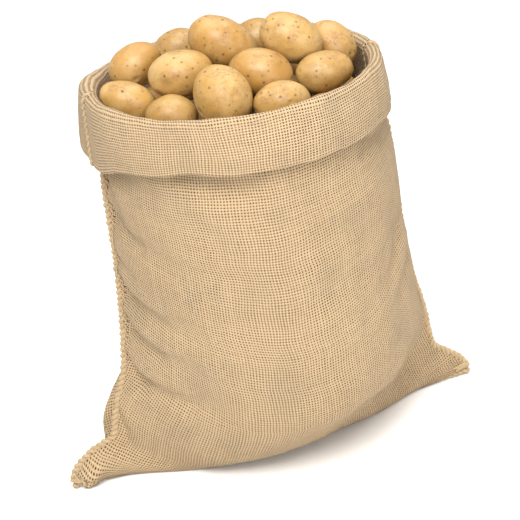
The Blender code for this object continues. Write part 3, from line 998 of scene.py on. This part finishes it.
@dataclass
class Panel:
    """One panel of the sack, from the bottom seam over the rolled mouth to the end of its hem."""

    side: Side
    form: SackForm
    columns: int
    body_rows: int
    cuff_rows: tuple[int, int, int, int]
    thickness: float = 1.6 * MM
    crease_room: float = 0.7
    fine_clear: float = 1 * MM
    fine_fade: float = 4 * MM
    floor_clear: float = 4 * MM
    floor_fade: float = 20 * MM
    softness: float = 1.5 * MM
    pucker: float = 0.5 * MM
    pucker_width: float = 9 * MM
    pucker_pitch: float = 11.2 * MM
    top_fade_rows: float = 12.0
    soft_seam_room: float = 8 * MM
    soft_clear: float = 12 * MM
    ridge_offset: float = 1.6
    ridge_reach: float = 4.0
    flat_size: tuple[float, float] = (0.40, 0.52)
    mouth_shown: float = 0.06

    def __post_init__(self) -> None:
        """Works out the cloth's points, normals and lengths."""
        self.u = np.linspace(-1.0, 1.0, self.columns + 1)
        base, runs, room = self.base_rows()
        self.runs = np.array(runs)
        self.points = self.form.twisted(base)
        self.normals = self.normals_of(self.points)
        self.points = self.points + self.normals * self.relief(room)[..., None]
        self.points[..., 2] = np.maximum(self.points[..., 2], self.thickness / 2)
        self.normals = self.normals_of(self.points)

    @property
    def rim_row(self) -> int:
        """The row at the top of the body."""
        return self.body_rows

    def base_rows(self) -> tuple[np.ndarray, list[float], np.ndarray]:
        """The plain cloth, each row's run and each point's room to the seam plane."""
        form, u = self.form, self.u
        bottom = form.bottom_row(u, self.side)
        first = form.body_row(u, form.first_run, self.side)
        top_run = LEVELS[-1].run
        rows, runs = [bottom], [0.0]
        for row in range(1, self.body_rows + 1):
            run = top_run * row / self.body_rows
            if run < form.first_run:
                rows.append(bottom + (first - bottom) * (run / form.first_run))
            else:
                rows.append(form.body_row(u, run, self.side))
            runs.append(run * MM)
        rim = rows[-1]
        level = form.level(top_run)
        angle, flat = u * math.pi / 2, 0 * u
        out_x = np.sin(angle) / level["half_width"]
        out_y = self.side.value * np.cos(angle) / level["depth"]
        outward = unit(np.stack([out_x, out_y, flat], axis=-1))
        steps, step_runs = form.cuff_steps(u, self.side, self.cuff_rows)
        for out_by, up_by in steps:
            sideways = outward * np.broadcast_to(out_by, u.shape)[:, None]
            rows.append(rim + sideways + np.stack([flat, flat, up_by + flat], -1))
        runs += [top_run * MM + run for run in step_runs]
        base = np.array(rows)
        return base, runs, np.abs(base[..., 1]) - form.side_gap

    def normals_of(self, places: np.ndarray) -> np.ndarray:
        """The direction out of the cloth's outer face at every point."""
        across = np.gradient(places, axis=1)
        along = np.gradient(places, axis=0)
        return unit(np.cross(across, along)) * -self.side.value

    def relief(self, room: np.ndarray) -> np.ndarray:
        """How far each point of the cloth moves out, for creases, softness and puckered seams.

        Args:
            room: each point's distance from the seam plane, past the gap.

        Returns:
            A distance for each point, less than 0 for a trough.
        """
        z = self.points[..., 2]
        u = np.broadcast_to(self.u, z.shape)
        flat = np.stack([u * self.form.half_panel, z], axis=-1)
        body = (np.arange(len(self.runs)) < self.body_rows - 1)[:, None]
        below_rim = self.body_rows - np.arange(len(self.runs))
        near_top = np.clip(below_rim / self.top_fade_rows, 0.0, 1.0)[:, None]
        limit = self.crease_room * room
        trough = sum(self.crease(flat, crease) for crease in FRAME_CREASES[self.side])
        fine = sum(self.crease(flat, crease) for crease in FINE_CREASES[self.side])
        fade = np.clip((z - self.floor_clear) / self.floor_fade, 0.0, 1.0)
        fine_fade = np.clip((z - self.fine_clear) / self.fine_fade, 0.0, 1.0)
        deep = -np.minimum(trough * body * fade + fine * near_top * fine_fade, limit)
        seam_fade = np.clip(room / self.soft_seam_room, 0.0, 1.0)
        soft = self.wandering(self.points, 26.0, 3.0) + 0.45 * self.wandering(self.points, 70.0, 8.0)
        soft = soft * self.softness * seam_fade * np.clip(z / self.soft_clear, 0.0, 1.0)
        edge = (1.0 - np.abs(u)) * self.form.half_panel
        waves = np.abs(np.sin(math.pi * self.runs / self.pucker_pitch))[:, None]
        gathers = self.pucker * np.exp(-((edge / self.pucker_width) ** 2)) * waves * body
        return deep + soft + gathers

    def crease(self, flat: np.ndarray, crease: Crease) -> np.ndarray:
        """How deep one crease is at each point, fading over its width and past its ends."""
        start = np.array([crease.across_from * self.form.half_panel, crease.z_from * MM])
        way = np.array([crease.across_to * self.form.half_panel, crease.z_to * MM]) - start
        offset = flat - start
        part = np.clip(offset @ way / (way @ way), 0.0, 1.0)
        off = offset - part[..., None] * way
        distance = np.linalg.norm(off, axis=-1) / (crease.width * MM)
        depth = np.exp(-(distance**2))
        if crease.ridge:
            beside = off[..., 1] / (crease.width * MM)
            ridge = crease.ridge * np.exp(-((beside - self.ridge_offset) ** 2) - 0.25 * distance**2)
            depth = depth * (1.0 - 0.35 * part) - ridge * (distance < self.ridge_reach)
        return crease.depth * MM * depth

    def wandering(self, places: np.ndarray, density: float, salt: float) -> np.ndarray:
        """Slow unevenness from -1 to 1, the same on every run."""
        flat = (places * density).reshape(-1, 3)
        values = [noise.noise(Vector((x + salt, y, z))) for x, y, z in flat]
        return np.array(values).reshape(places.shape[:2])

    def at(self, u: float, row: float) -> tuple[np.ndarray, np.ndarray, np.ndarray, np.ndarray]:
        """One place on the cloth.

        Args:
            u: from -1 at the left seam to 1 at the right one.
            row: the row, which may lie between two.

        Returns:
            The point, the outer normal, and the directions across and up the cloth.
        """
        column = (min(max(u, -1.0), 1.0) + 1.0) / 2.0 * self.columns
        c = min(int(column), self.columns - 1)
        r = min(int(row), len(self.runs) - 2)
        cf, rf = column - c, row - r

        def between(grid: np.ndarray) -> np.ndarray:
            """The grid's value between its four nearest points."""
            low = grid[r, c] * (1 - cf) + grid[r, c + 1] * cf
            high = grid[r + 1, c] * (1 - cf) + grid[r + 1, c + 1] * cf
            return low * (1 - rf) + high * rf

        across = unit(self.points[r, c + 1] - self.points[r, c])
        along = unit(self.points[r + 1, c] - self.points[r, c])
        return between(self.points), unit(between(self.normals)), across, along

    def build(
        self, finish: bpy.types.Material, name: str, node: str, rests_on: Sequence[str]
    ) -> bpy.types.Object:
        """Makes the panel's cloth.

        Args:
            finish: the hessian.
            name: the piece's name.
            node: the frame's node that it stands for.
            rests_on: what the cloth lies on; not used.

        Returns:
            The piece.
        """
        rows = len(self.runs) - 1
        cloth, column, row = add_grid(name, self.columns, rows)
        set_points(cloth.data, self.points[row, column])
        lengths = np.array([lengths_along(line) for line in self.points])
        across = lengths - lengths[:, -1:] / 2.0
        loop = corner_points(cloth.data)
        set_map(cloth.data, WEAVE_MAP, np.stack([across[row, column], self.runs[row]], axis=-1)[loop])
        left, right = lengths_along(self.points[:, 0]), lengths_along(self.points[:, -1])
        seam_length = np.where(self.u[column] < 0, left[row], right[row])
        inset = (1.0 - np.abs(self.u[column])) * self.form.half_panel
        set_map(cloth.data, SEAM_MAP, np.stack([inset, seam_length], axis=-1)[loop])
        if self.side is Side.BACK:
            choose(cloth)
            bpy.ops.object.mode_set(mode="EDIT")
            bpy.ops.mesh.select_all(action="SELECT")
            bpy.ops.mesh.flip_normals()
            bpy.ops.object.mode_set(mode="OBJECT")
        spread = np.stack([column[corner_points(cloth.data)], row[corner_points(cloth.data)]], axis=-1)
        set_map(cloth.data, BAKE_MAP, spread)
        choose(cloth)
        bpy.ops.object.modifier_add(type="SOLIDIFY")
        wall = cloth.modifiers[-1]
        wall.thickness, wall.offset = self.thickness, 0.0
        bpy.ops.object.modifier_apply(modifier=wall.name)
        self.lay_out_bake(cloth.data, rows)
        finish_piece(cloth, finish, [node])
        return cloth

    def lay_out_bake(self, mesh: bpy.types.Mesh, rows: int) -> None:
        """Gives the faces that show most of the bake's map, and those that are hidden a strip of it.

        Args:
            mesh: the cloth, with its walls.
            rows: rows of faces in one wall.
        """
        faces = self.columns * rows
        corners = np.empty(len(mesh.loops) * 2, np.float32)
        mesh.uv_layers[BAKE_MAP].uv.foreach_get("vector", corners)
        corners = corners.reshape(-1, 2).astype(float)
        face = np.repeat(np.arange(len(mesh.polygons)), [len(p.vertices) for p in mesh.polygons])
        low_row = np.full(len(mesh.polygons), rows + 1.0)
        np.minimum.at(low_row, face, corners[:, 1])
        low_row = low_row[face]
        outer, inner = face < faces, (face >= faces) & (face < 2 * faces)
        mouth = self.rim_row - round(self.mouth_shown / (self.runs[1] - self.runs[0]))
        u = 0.004 + 0.992 * corners[:, 0] / self.columns
        row = corners[:, 1]
        v = np.zeros(len(row))
        # Each band's faces, its first and last row, and the strip of the map that it fills.
        bands = (
            (outer & (low_row < self.rim_row), 0, self.rim_row, 0.004, 0.690),
            (inner & (low_row >= mouth), mouth, rows, 0.698, 0.936),
            (outer & (low_row >= self.rim_row), self.rim_row, rows, 0.942, 0.958),
            (inner & (low_row < mouth), 0, mouth, 0.962, 0.982),
            (~outer & ~inner, 0, rows, 0.986, 0.992),
        )
        for chosen, first, last, low, high in bands:
            v[chosen] = low + (high - low) * (row[chosen] - first) / (last - first)
        rim = ~outer & ~inner
        first_corner = np.searchsorted(face, face, side="left")
        turn = np.arange(len(face)) - first_corner
        v[rim] += 0.003 * (turn[rim] >= 2)
        set_map(mesh, BAKE_MAP, np.stack([u, v], axis=-1))


@dataclass(frozen=True)
class Rope:
    """A laid rope of seam twine, with strands that turn round each other."""

    strands: int = 2
    turn_length: float = 11.2 * MM
    sides: int = 18
    step: float = 0.85 * MM
    strand_share: float = 0.66
    strand_offset: float = 0.34
    end_length: float = 2 * MM

    def outline(self, angle: np.ndarray) -> np.ndarray:
        """The rope's outer edge as a share of its radius, for angles from its first strand."""
        best = np.full(angle.shape, 0.30)
        for strand in range(self.strands):
            turned = angle - 2 * math.pi * strand / self.strands
            inside = self.strand_share**2 - (self.strand_offset * np.sin(turned)) ** 2
            reach = self.strand_offset * np.cos(turned) + np.sqrt(np.maximum(inside, 0.0))
            best = np.maximum(best, reach)
        return best

    def build(
        self, name: str, centres: np.ndarray, outward: np.ndarray, radii: np.ndarray, squash: float
    ) -> bpy.types.Object:
        """Makes the rope along a line.

        Args:
            name: the piece's name.
            centres: the line's points.
            outward: a direction across the rope at each point.
            radii: the rope's radius at each point.
            squash: its thickness in the other direction, as a share.

        Returns:
            The piece.
        """
        lengths = lengths_along(centres)
        segments = int(lengths[-1] / self.step)
        where = np.linspace(0.0, lengths[-1], segments + 1)
        line = np.stack([np.interp(where, lengths, centres[:, k]) for k in range(3)], axis=-1)
        out = unit(np.stack([np.interp(where, lengths, outward[:, k]) for k in range(3)], axis=-1))
        radius = np.interp(where, lengths, radii)
        tangent = unit(np.gradient(line, axis=0))
        out = unit(out - tangent * np.sum(out * tangent, axis=1)[:, None])
        third = np.cross(tangent, out)
        tube, column, row = add_grid(name, segments, self.sides)
        angle = 2 * math.pi * row / self.sides
        lay = 2 * math.pi * where[column] / self.turn_length
        share = self.outline(angle - lay)
        wobble = 1.0 + 0.05 * np.sin(where[column] * 911.0) + 0.04 * np.sin(where[column] * 397.0 + 1.0)
        from_end = np.minimum(where[column], lengths[-1] - where[column])
        ends = np.minimum(1.0, np.sqrt(from_end / self.end_length + 0.05))
        reach = radius[column] * share * wobble * ends
        places = (
            line[column]
            + out[column] * (reach * np.cos(angle))[:, None]
            + third[column] * (reach * np.sin(angle) * squash)[:, None]
        )
        set_points(tube.data, places)
        # Painted shade: the twine darkens in the grooves between the strands.
        set_number(tube.data, HOLLOW_SHADE_ATTRIBUTE, np.clip((0.92 - share) / 0.5, 0.0, 1.0))
        choose(tube)
        bpy.ops.object.mode_set(mode="EDIT")
        bpy.ops.mesh.select_all(action="SELECT")
        bpy.ops.mesh.remove_doubles(threshold=1e-6)
        bpy.ops.mesh.select_all(action="SELECT")
        bpy.ops.mesh.fill_holes(sides=self.sides + 2)
        bpy.ops.mesh.select_all(action="SELECT")
        bpy.ops.mesh.normals_make_consistent(inside=False)
        bpy.ops.object.mode_set(mode="OBJECT")
        return tube


@dataclass(frozen=True)
class Stitch:
    """A short stitch of twine that dips into the cloth at both ends."""

    half_length: float = 2.9 * MM
    radius: float = 0.85 * MM
    arch: float = 0.5 * MM

    def master(self) -> bpy.types.Object:
        """The stitch, along X with its arch up Z."""
        start_piece()
        on_its_side = (0.0, math.pi / 2, 0.0)
        bpy.ops.mesh.primitive_uv_sphere_add(segments=8, ring_count=7, radius=1.0, rotation=on_its_side)
        bpy.ops.object.transform_apply(location=False, rotation=True, scale=False)
        stitch = bpy.context.object
        places = points_of(stitch.data)
        along = places[:, 0]
        full = 0.65 + 0.35 * np.sqrt(np.maximum(0.0, 1.0 - along**2))
        places[:, 0] = along * self.half_length
        places[:, 1:] *= (self.radius * full)[:, None]
        places[:, 2] += self.arch * (1.0 - along**2) - 0.5 * self.arch
        set_points(stitch.data, places)
        # Painted shade: the stitch darkens towards its ends, where it dips into the cloth.
        set_number(stitch.data, HOLLOW_SHADE_ATTRIBUTE, np.clip(np.abs(along) * 1.2 - 0.45, 0.0, 1.0))
        return stitch


@dataclass
class SideSeam:
    """The overlocked seam up one side of the sack, its stitches, and the rope that closes the cuff."""

    name: str
    node: str
    end: float
    front: Panel
    back: Panel
    rope: Rope
    stitch: Stitch
    radius: float = 3.7 * MM
    thin_radius: float = 2.1 * MM
    centre_out: float = 0.7 * MM
    thin_from: float = 0.29
    thin_to: float = 0.335
    cuff_radius: float = 2.6 * MM
    cuff_out: float = 0.8 * MM
    stitch_pitch: float = 5.6 * MM
    stitch_inset: float = 3.4 * MM
    slant: float = 0.75
    slant_spread: float = 0.15
    stitch_lift: float = 0.35 * MM
    bare_top: float = 34 * MM
    stations: int = 240
    squash: float = 0.86

    def edge(self, panel: Panel) -> np.ndarray:
        """The panel's side edge."""
        return panel.points[:, 0 if self.end < 0 else -1]

    def route(self) -> tuple[np.ndarray, np.ndarray, np.ndarray]:
        """The rope's middle, its outward direction and its radius, up to inside the roll."""
        lengths = np.linspace(0.0, 1.0, self.stations)
        lines = []
        for panel in (self.front, self.back):
            edge = self.edge(panel)[: panel.rim_row + 1]
            along = lengths_along(edge)
            share = along / along[-1]
            lines.append(np.stack([np.interp(lengths, share, edge[:, k]) for k in range(3)], axis=-1))
        middle = (lines[0] + lines[1]) / 2
        tangent = unit(np.gradient(middle, axis=0))
        seam_normal = unit(lines[0] - lines[1])
        outward = unit(np.cross(tangent, seam_normal))
        half = len(outward) // 2
        if outward[half, 0] * self.end < 0:
            outward = -outward
        thin = np.clip((middle[:, 2] - self.thin_from) / (self.thin_to - self.thin_from), 0.0, 1.0)
        radii = self.radius + (self.thin_radius - self.radius) * thin
        return middle + outward * (self.centre_out * (1 - thin))[:, None], outward, radii

    def build(self, finish: bpy.types.Material) -> None:
        """Makes the ropes and the stitches.

        Args:
            finish: the twine.
        """
        centres, outward, radii = self.route()
        rope = self.rope.build(f"{self.name}_rope", centres, outward, radii, self.squash)
        finish_piece(rope, finish, [self.node])
        stitches = gathered(f"{self.name}_stitches", self.stitch.master(), self.stitch_places())
        finish_piece(stitches, finish)
        centres, outward = self.cuff_route()
        radii = np.full(len(centres), self.cuff_radius)
        cuff_rope = self.rope.build(f"{self.name}_cuff_rope", centres, outward, radii, self.squash)
        finish_piece(cuff_rope, finish)

    def stitch_places(self) -> list[Matrix]:
        """Where the stitches go, on both faces of the seam below the cuff."""
        places = []
        draws = random.Random(11 if self.end < 0 else 12)
        for panel in (self.front, self.back):
            along = lengths_along(self.edge(panel)[: panel.rim_row + 1])
            count = int((along[-1] - self.bare_top) / self.stitch_pitch)
            for k in range(count):
                row = float(np.interp((k + 0.5) * self.stitch_pitch, along, np.arange(len(along))))
                u = self.end * (1.0 - self.stitch_inset / panel.form.half_panel)
                point, normal, across, up = panel.at(u, row)
                lean = self.slant + draws.uniform(-self.slant_spread, self.slant_spread)
                way = across * self.end + up * lean
                lifted = point + normal * (panel.thickness / 2 + self.stitch_lift)
                places.append(frame_matrix(lifted, way, normal))
        return places

    def cuff_route(self) -> tuple[np.ndarray, np.ndarray]:
        """The middle of the rope that closes the two panels' cuffs, and its outward direction."""
        panel = self.front
        roll, fall, turn, _ = panel.cuff_rows
        first, last = panel.rim_row + roll // 2 - 1, panel.rim_row + roll + fall + turn
        edge = self.edge(panel)[first : last + 1].copy()
        edge[:, 1] = 0.0
        tangent = unit(np.gradient(edge, axis=0))
        outward = np.stack([-tangent[:, 2], 0 * edge[:, 0], tangent[:, 0]], axis=-1) * self.end
        outward *= np.sign(outward[len(edge) // 2, 0] * self.end)
        return edge + outward * self.cuff_out, outward


@dataclass
class BottomSeam:
    """The overlocked seam under the sack, from ear to ear."""

    form: SackForm
    rope: Rope
    radius: float = 3.1 * MM
    height: float = 3.35 * MM
    overhang: float = 2.0 * MM
    stations: int = 60

    def build(self, finish: bpy.types.Material) -> None:
        """Makes the rope.

        Args:
            finish: the twine.
        """
        middle = LEVELS[0].x_middle * MM
        reach = LEVELS[0].half_width * MM + self.overhang
        x = np.linspace(middle - reach, middle + reach, self.stations)
        straight = np.stack([x, 0 * x, np.full(self.stations, self.height)], axis=-1)
        line = self.form.twisted(straight)
        outward = np.tile([0.0, 0.0, 1.0], (self.stations, 1))
        radii = np.full(self.stations, self.radius)
        rope = self.rope.build("bottom_seam_rope", line, outward, radii, squash=1.0)
        finish_piece(rope, finish, ["bottom_seam"])


@dataclass
class EarChain:
    """Chain stitches along the lower front edge of one ear."""

    name: str
    panel: Panel
    stitch: Stitch
    u_from: float
    u_to: float
    run: float
    links: int
    splay: float = 0.55
    lift: float = 1.3 * MM
    floor_clear: float = 0.3 * MM

    def build(self, finish: bpy.types.Material) -> None:
        """Makes the stitches, two to a link.

        Args:
            finish: the twine.
        """
        row = float(np.interp(self.run, self.panel.runs, np.arange(len(self.panel.runs))))
        places = []
        for link in range(self.links):
            u = self.u_from + (self.u_to - self.u_from) * link / (self.links - 1)
            point, normal, across, up = self.panel.at(u, row)
            for side in (-1.0, 1.0):
                middle = point + normal * self.lift + up * (side * self.lift)
                middle[2] = max(middle[2], self.lift + self.floor_clear)
                places.append(frame_matrix(middle, across - up * (side * self.splay), normal))
        chain = gathered(self.name, self.stitch.master(), places)
        finish_piece(chain, finish)


@dataclass(frozen=True)
class Fibre:
    """A loose jute fibre, thin and curled."""

    length: float = 4.5 * MM
    radius: float = 0.075 * MM
    curl: float = 0.30

    def master(self) -> bpy.types.Object:
        """The fibre, standing up Z and curling towards X."""
        start_piece()
        bpy.ops.mesh.primitive_cylinder_add(
            vertices=3, radius=self.radius, depth=self.length, end_fill_type="NGON"
        )
        fibre = bpy.context.object
        bpy.ops.object.mode_set(mode="EDIT")
        for part in (0.25, 0.5, 0.75):
            bpy.ops.mesh.select_all(action="SELECT")
            bpy.ops.mesh.bisect(plane_co=(0, 0, (part - 0.5) * self.length), plane_no=(0, 0, 1))
        bpy.ops.object.mode_set(mode="OBJECT")
        places = points_of(fibre.data)
        part = places[:, 2] / self.length + 0.5
        places[:, :2] *= (1.0 - 0.6 * part)[:, None]
        places[:, 2] = part * self.length * (1.0 - self.curl * part * 0.5)
        places[:, 0] += self.curl * self.length * part**2
        places[:, 1] += 0.1 * self.length * np.sin(part * 5.0)
        set_points(fibre.data, places)
        return fibre


@dataclass
class Fuzz:
    """Loose fibres that stand out of one panel's cloth, most of them at its edges."""

    panel: Panel
    fibre: Fibre
    on_body: int
    on_rim: int
    on_hem: int
    on_seams: int
    on_tips: int
    seed: int
    lean: float = 0.9
    floor_clear: float = 0.2 * MM

    def build(self, name: str, finish: bpy.types.Material) -> None:
        """Makes the fibres.

        Args:
            name: the piece's name.
            finish: what they are made of.
        """
        draws = random.Random(self.seed)
        panel = self.panel
        rim, (roll, fall, turn, _) = panel.rim_row, panel.cuff_rows
        spots = [(draws.uniform(-0.98, 0.98), draws.uniform(8, rim * 0.86), 1) for _ in range(self.on_body)]
        spots += [(draws.uniform(-0.98, 0.98), rim + draws.uniform(1, roll), -1) for _ in range(self.on_rim)]
        hem = rim + roll + fall
        spots += [
            (draws.uniform(-0.99, 0.99), hem + draws.uniform(-3, turn * 0.6), -1) for _ in range(self.on_hem)
        ]
        spots += [
            (draws.choice((-1, 1)) * draws.uniform(0.965, 0.995), draws.uniform(2, rim * 0.84), 1)
            for _ in range(self.on_seams)
        ]
        spots += [
            (draws.choice((-1, 1)) * draws.uniform(0.95, 0.998), draws.uniform(0, 7), 1)
            for _ in range(self.on_tips)
        ]
        places = []
        for u, row, face in spots:
            point, normal, across, up = panel.at(u, row)
            out = normal * face
            sideways = across * draws.uniform(-self.lean, self.lean)
            lean = unit(out + sideways + up * draws.uniform(-self.lean, self.lean))
            place = frame_matrix(point + out * panel.thickness * 0.45, np.cross(lean, up + 1e-6), lean)
            size = draws.uniform(0.35, 1.0)
            turn_by = Matrix.Rotation(draws.uniform(0, 2 * math.pi), 4, "Z")
            places.append(place @ turn_by @ Matrix.Scale(size, 4))
        piece = gathered(name, self.fibre.master(), places)
        lift = points_of(piece.data)
        lift[:, 2] = np.maximum(lift[:, 2], self.floor_clear)
        set_points(piece.data, lift)
        finish_piece(piece, finish)


@dataclass
class PotatoHeap:
    """The potatoes that show in the mouth, and those just under them."""

    top_detail: int = 5
    deep_detail: int = 4
    lump: float = 0.030
    eyes: int = 8
    eye_size: float = 0.11
    eye_depth: float = 0.85 * MM

    def build(self, finishes: Sequence[bpy.types.Material]) -> None:
        """Makes every potato.

        Args:
            finishes: skins to choose among.
        """
        layers = (("potato", TOP_POTATOES, self.top_detail), ("deep_potato", DEEP_POTATOES, self.deep_detail))
        for kind, potatoes, detail in layers:
            for number, potato in enumerate(potatoes, start=1):
                node = f"{kind}_{number:02d}"
                piece = self.potato(f"{node}_tuber", potato, detail, seed=number * 7 + detail)
                finish_piece(piece, finishes[number % len(finishes)], [node])

    def potato(self, name: str, potato: Potato, detail: int, seed: int) -> bpy.types.Object:
        """One potato: an egg with soft lumps, and eyes with a brow over each.

        Args:
            name: the piece's name.
            potato: its place and size.
            detail: how finely the ball it starts from is divided.
            seed: of its lumps and eyes.

        Returns:
            The piece.
        """
        start_piece()
        bpy.ops.mesh.primitive_ico_sphere_add(subdivisions=detail, radius=1.0)
        piece = bpy.context.object
        piece.name = piece.data.name = name
        ball = unit(points_of(piece.data))
        draws = random.Random(seed)
        shift = Vector((draws.uniform(0, 50), draws.uniform(0, 50), draws.uniform(0, 50)))
        broad = np.array([noise.noise(Vector(point) * 1.3 + shift) for point in ball])
        lumps = broad + 0.4 * np.array([noise.noise(Vector(point) * 2.9 + shift) for point in ball])
        fatness = potato.half_thickness * MM * (1 + potato.egg * ball[:, 0])
        length = potato.half_length * MM
        shape = np.stack([ball[:, 0] * length, ball[:, 1] * fatness, ball[:, 2] * fatness], axis=-1)
        shape *= (1.0 + self.lump * lumps)[:, None]
        eye = np.zeros(len(ball))
        for _ in range(self.eyes):
            way = unit(np.array([draws.gauss(0, 1) for _ in range(3)]))
            apart = np.arccos(np.clip(ball @ way, -1, 1)) / (self.eye_size * draws.uniform(0.6, 1.2))
            strength = draws.uniform(0.4, 1.0)
            eye = np.maximum(eye, strength * np.exp(-((apart * 1.9) ** 2)))
            dent = np.exp(-(apart**2)) - 0.45 * np.exp(-((apart - 1.7) ** 2) * 3.0)
            shape -= ball * (self.eye_depth * strength * dent)[:, None]
        turn = Euler((0.0, math.radians(-potato.pitch), math.radians(potato.heading))).to_matrix()
        places = shape @ np.array(turn).T + np.array([potato.x, potato.y, potato.z]) * MM
        set_points(piece.data, places)
        set_number(piece.data, EYE_ATTRIBUTE, eye)
        return piece


# The studio


@dataclass(frozen=True)
class Lamp:
    """A soft lamp that faces a point."""

    name: str
    place: tuple[float, float, float]
    size: float
    power: float
    tint: tuple[float, float, float] = (1.0, 1.0, 1.0)
    aim: tuple[float, float, float] = (0.0, 0.0, 0.18)

    def build(self) -> None:
        """Makes the lamp."""
        start_piece()
        bpy.ops.object.light_add(type="AREA", location=self.place)
        lamp = bpy.context.object
        lamp.name = self.name
        lamp.data.shape = "DISK"
        lamp.data.size = self.size
        lamp.data.energy = self.power
        lamp.data.color = self.tint
        lamp.rotation_euler = (Vector(self.place) - Vector(self.aim)).to_track_quat("Z", "Y").to_euler()


@dataclass(frozen=True)
class Studio:
    """A plain pale floor under soft light, and the camera, held a little askew."""

    azimuth: float = -8.0
    elevation: float = 24.9
    roll: float = 9.5
    distance: float = 1.585
    target: tuple[float, float, float] = (0.0, 0.0, 0.17)
    lens: float = 121.15
    sensor: float = 36.0
    shift: tuple[float, float] = (0.0231, 0.0173)
    floor_side: float = 9.0
    sky: float = 0.75
    lamps: tuple[Lamp, ...] = (
        Lamp("key lamp", (-0.42, -1.40, 1.90), 1.15, 52.0, (1.0, 0.985, 0.96)),
        Lamp("front lamp", (0.40, -1.95, 0.80), 0.8, 12.0, (1.0, 0.99, 0.975)),
        Lamp("top lamp", (0.35, 0.3, 2.1), 1.6, 22.0),
    )

    def build(self) -> None:
        """Makes the floor, sky, lamps and camera."""
        start_piece()
        bpy.ops.mesh.primitive_plane_add(size=self.floor_side)
        floor = bpy.context.object
        floor.name = "floor"
        floor.data.materials.append(PlainFinish("pale floor", shade=0.92).make())
        world = bpy.data.worlds.new("sky")
        world.use_nodes = True
        back = world.node_tree.nodes["Background"]
        back.inputs["Color"].default_value = (1.0, 1.0, 1.0, 1.0)
        back.inputs["Strength"].default_value = self.sky
        bpy.context.scene.world = world
        bpy.context.scene.view_settings.view_transform = "Standard"
        for lamp in self.lamps:
            lamp.build()
        self.camera()

    def camera(self) -> None:
        """Makes the camera."""
        azimuth, elevation, roll = (math.radians(a) for a in (self.azimuth, self.elevation, self.roll))
        level = math.cos(elevation)
        back = Vector((math.sin(azimuth) * level, -math.cos(azimuth) * level, math.sin(elevation)))
        right = Vector((math.cos(azimuth), math.sin(azimuth), 0.0))
        up = back.cross(right)
        rolled_right = right * math.cos(roll) - up * math.sin(roll)
        rolled_up = right * math.sin(roll) + up * math.cos(roll)
        start_piece()
        bpy.ops.object.camera_add()
        camera = bpy.context.object
        camera.name = "camera"
        camera.data.sensor_width = self.sensor
        camera.data.lens = self.lens
        camera.data.shift_x, camera.data.shift_y = self.shift
        turn = Matrix((rolled_right, rolled_up, back)).transposed().to_4x4()
        camera.matrix_world = Matrix.Translation(Vector(self.target) + back * self.distance) @ turn
        bpy.context.scene.camera = camera


def main() -> None:
    """Builds the sack's pieces in order, and the studio."""
    form = SackForm()
    front = Panel(Side.FRONT, form, columns=186, body_rows=196, cuff_rows=(12, 22, 8, 6))
    back = Panel(Side.BACK, form, columns=160, body_rows=170, cuff_rows=(10, 18, 7, 5))
    front_finish = HessianFinish("front hessian").make()
    front.build(front_finish, "front_cloth", "front_panel", ["back_panel", "bottom_seam"])
    back_finish = HessianFinish("back hessian", salt=3.7).make()
    back.build(back_finish, "back_cloth", "back_panel", ["front_panel", "bottom_seam"])
    twine = TwineFinish("seam twine").make()
    rope, stitch = Rope(), Stitch()
    for name, node, end in (("left_seam", "side_seam_left", -1.0), ("right_seam", "side_seam_right", 1.0)):
        SideSeam(name, node, end, front, back, rope, stitch).build(twine)
    BottomSeam(form, rope).build(twine)
    link = Stitch(half_length=3.2 * MM, radius=1.25 * MM)
    EarChain("left_ear_chain", front, link, u_from=-0.975, u_to=-0.74, run=9 * MM, links=9).build(twine)
    EarChain("right_ear_chain", front, link, u_from=0.975, u_to=0.80, run=9 * MM, links=7).build(twine)
    fluff = TwineFinish("loose fibre").make()
    front_fuzz = Fuzz(front, Fibre(), on_body=260, on_rim=130, on_hem=150, on_seams=90, on_tips=60, seed=3)
    front_fuzz.build("front_fuzz", fluff)
    back_fuzz = Fuzz(back, Fibre(), on_body=200, on_rim=110, on_hem=110, on_seams=70, on_tips=40, seed=4)
    back_fuzz.build("back_fuzz", fluff)
    skins = [
        SkinFinish("golden skin", salt=0.0).make(),
        SkinFinish("pale skin", gold=(0.44, 0.255, 0.068), pale=(0.52, 0.340, 0.132), salt=1.3).make(),
        SkinFinish("tan skin", gold=(0.40, 0.212, 0.048), pale=(0.47, 0.290, 0.100), salt=2.9).make(),
    ]
    PotatoHeap().build(skins)
    Studio().build()


if __name__ == "__main__":
    main()
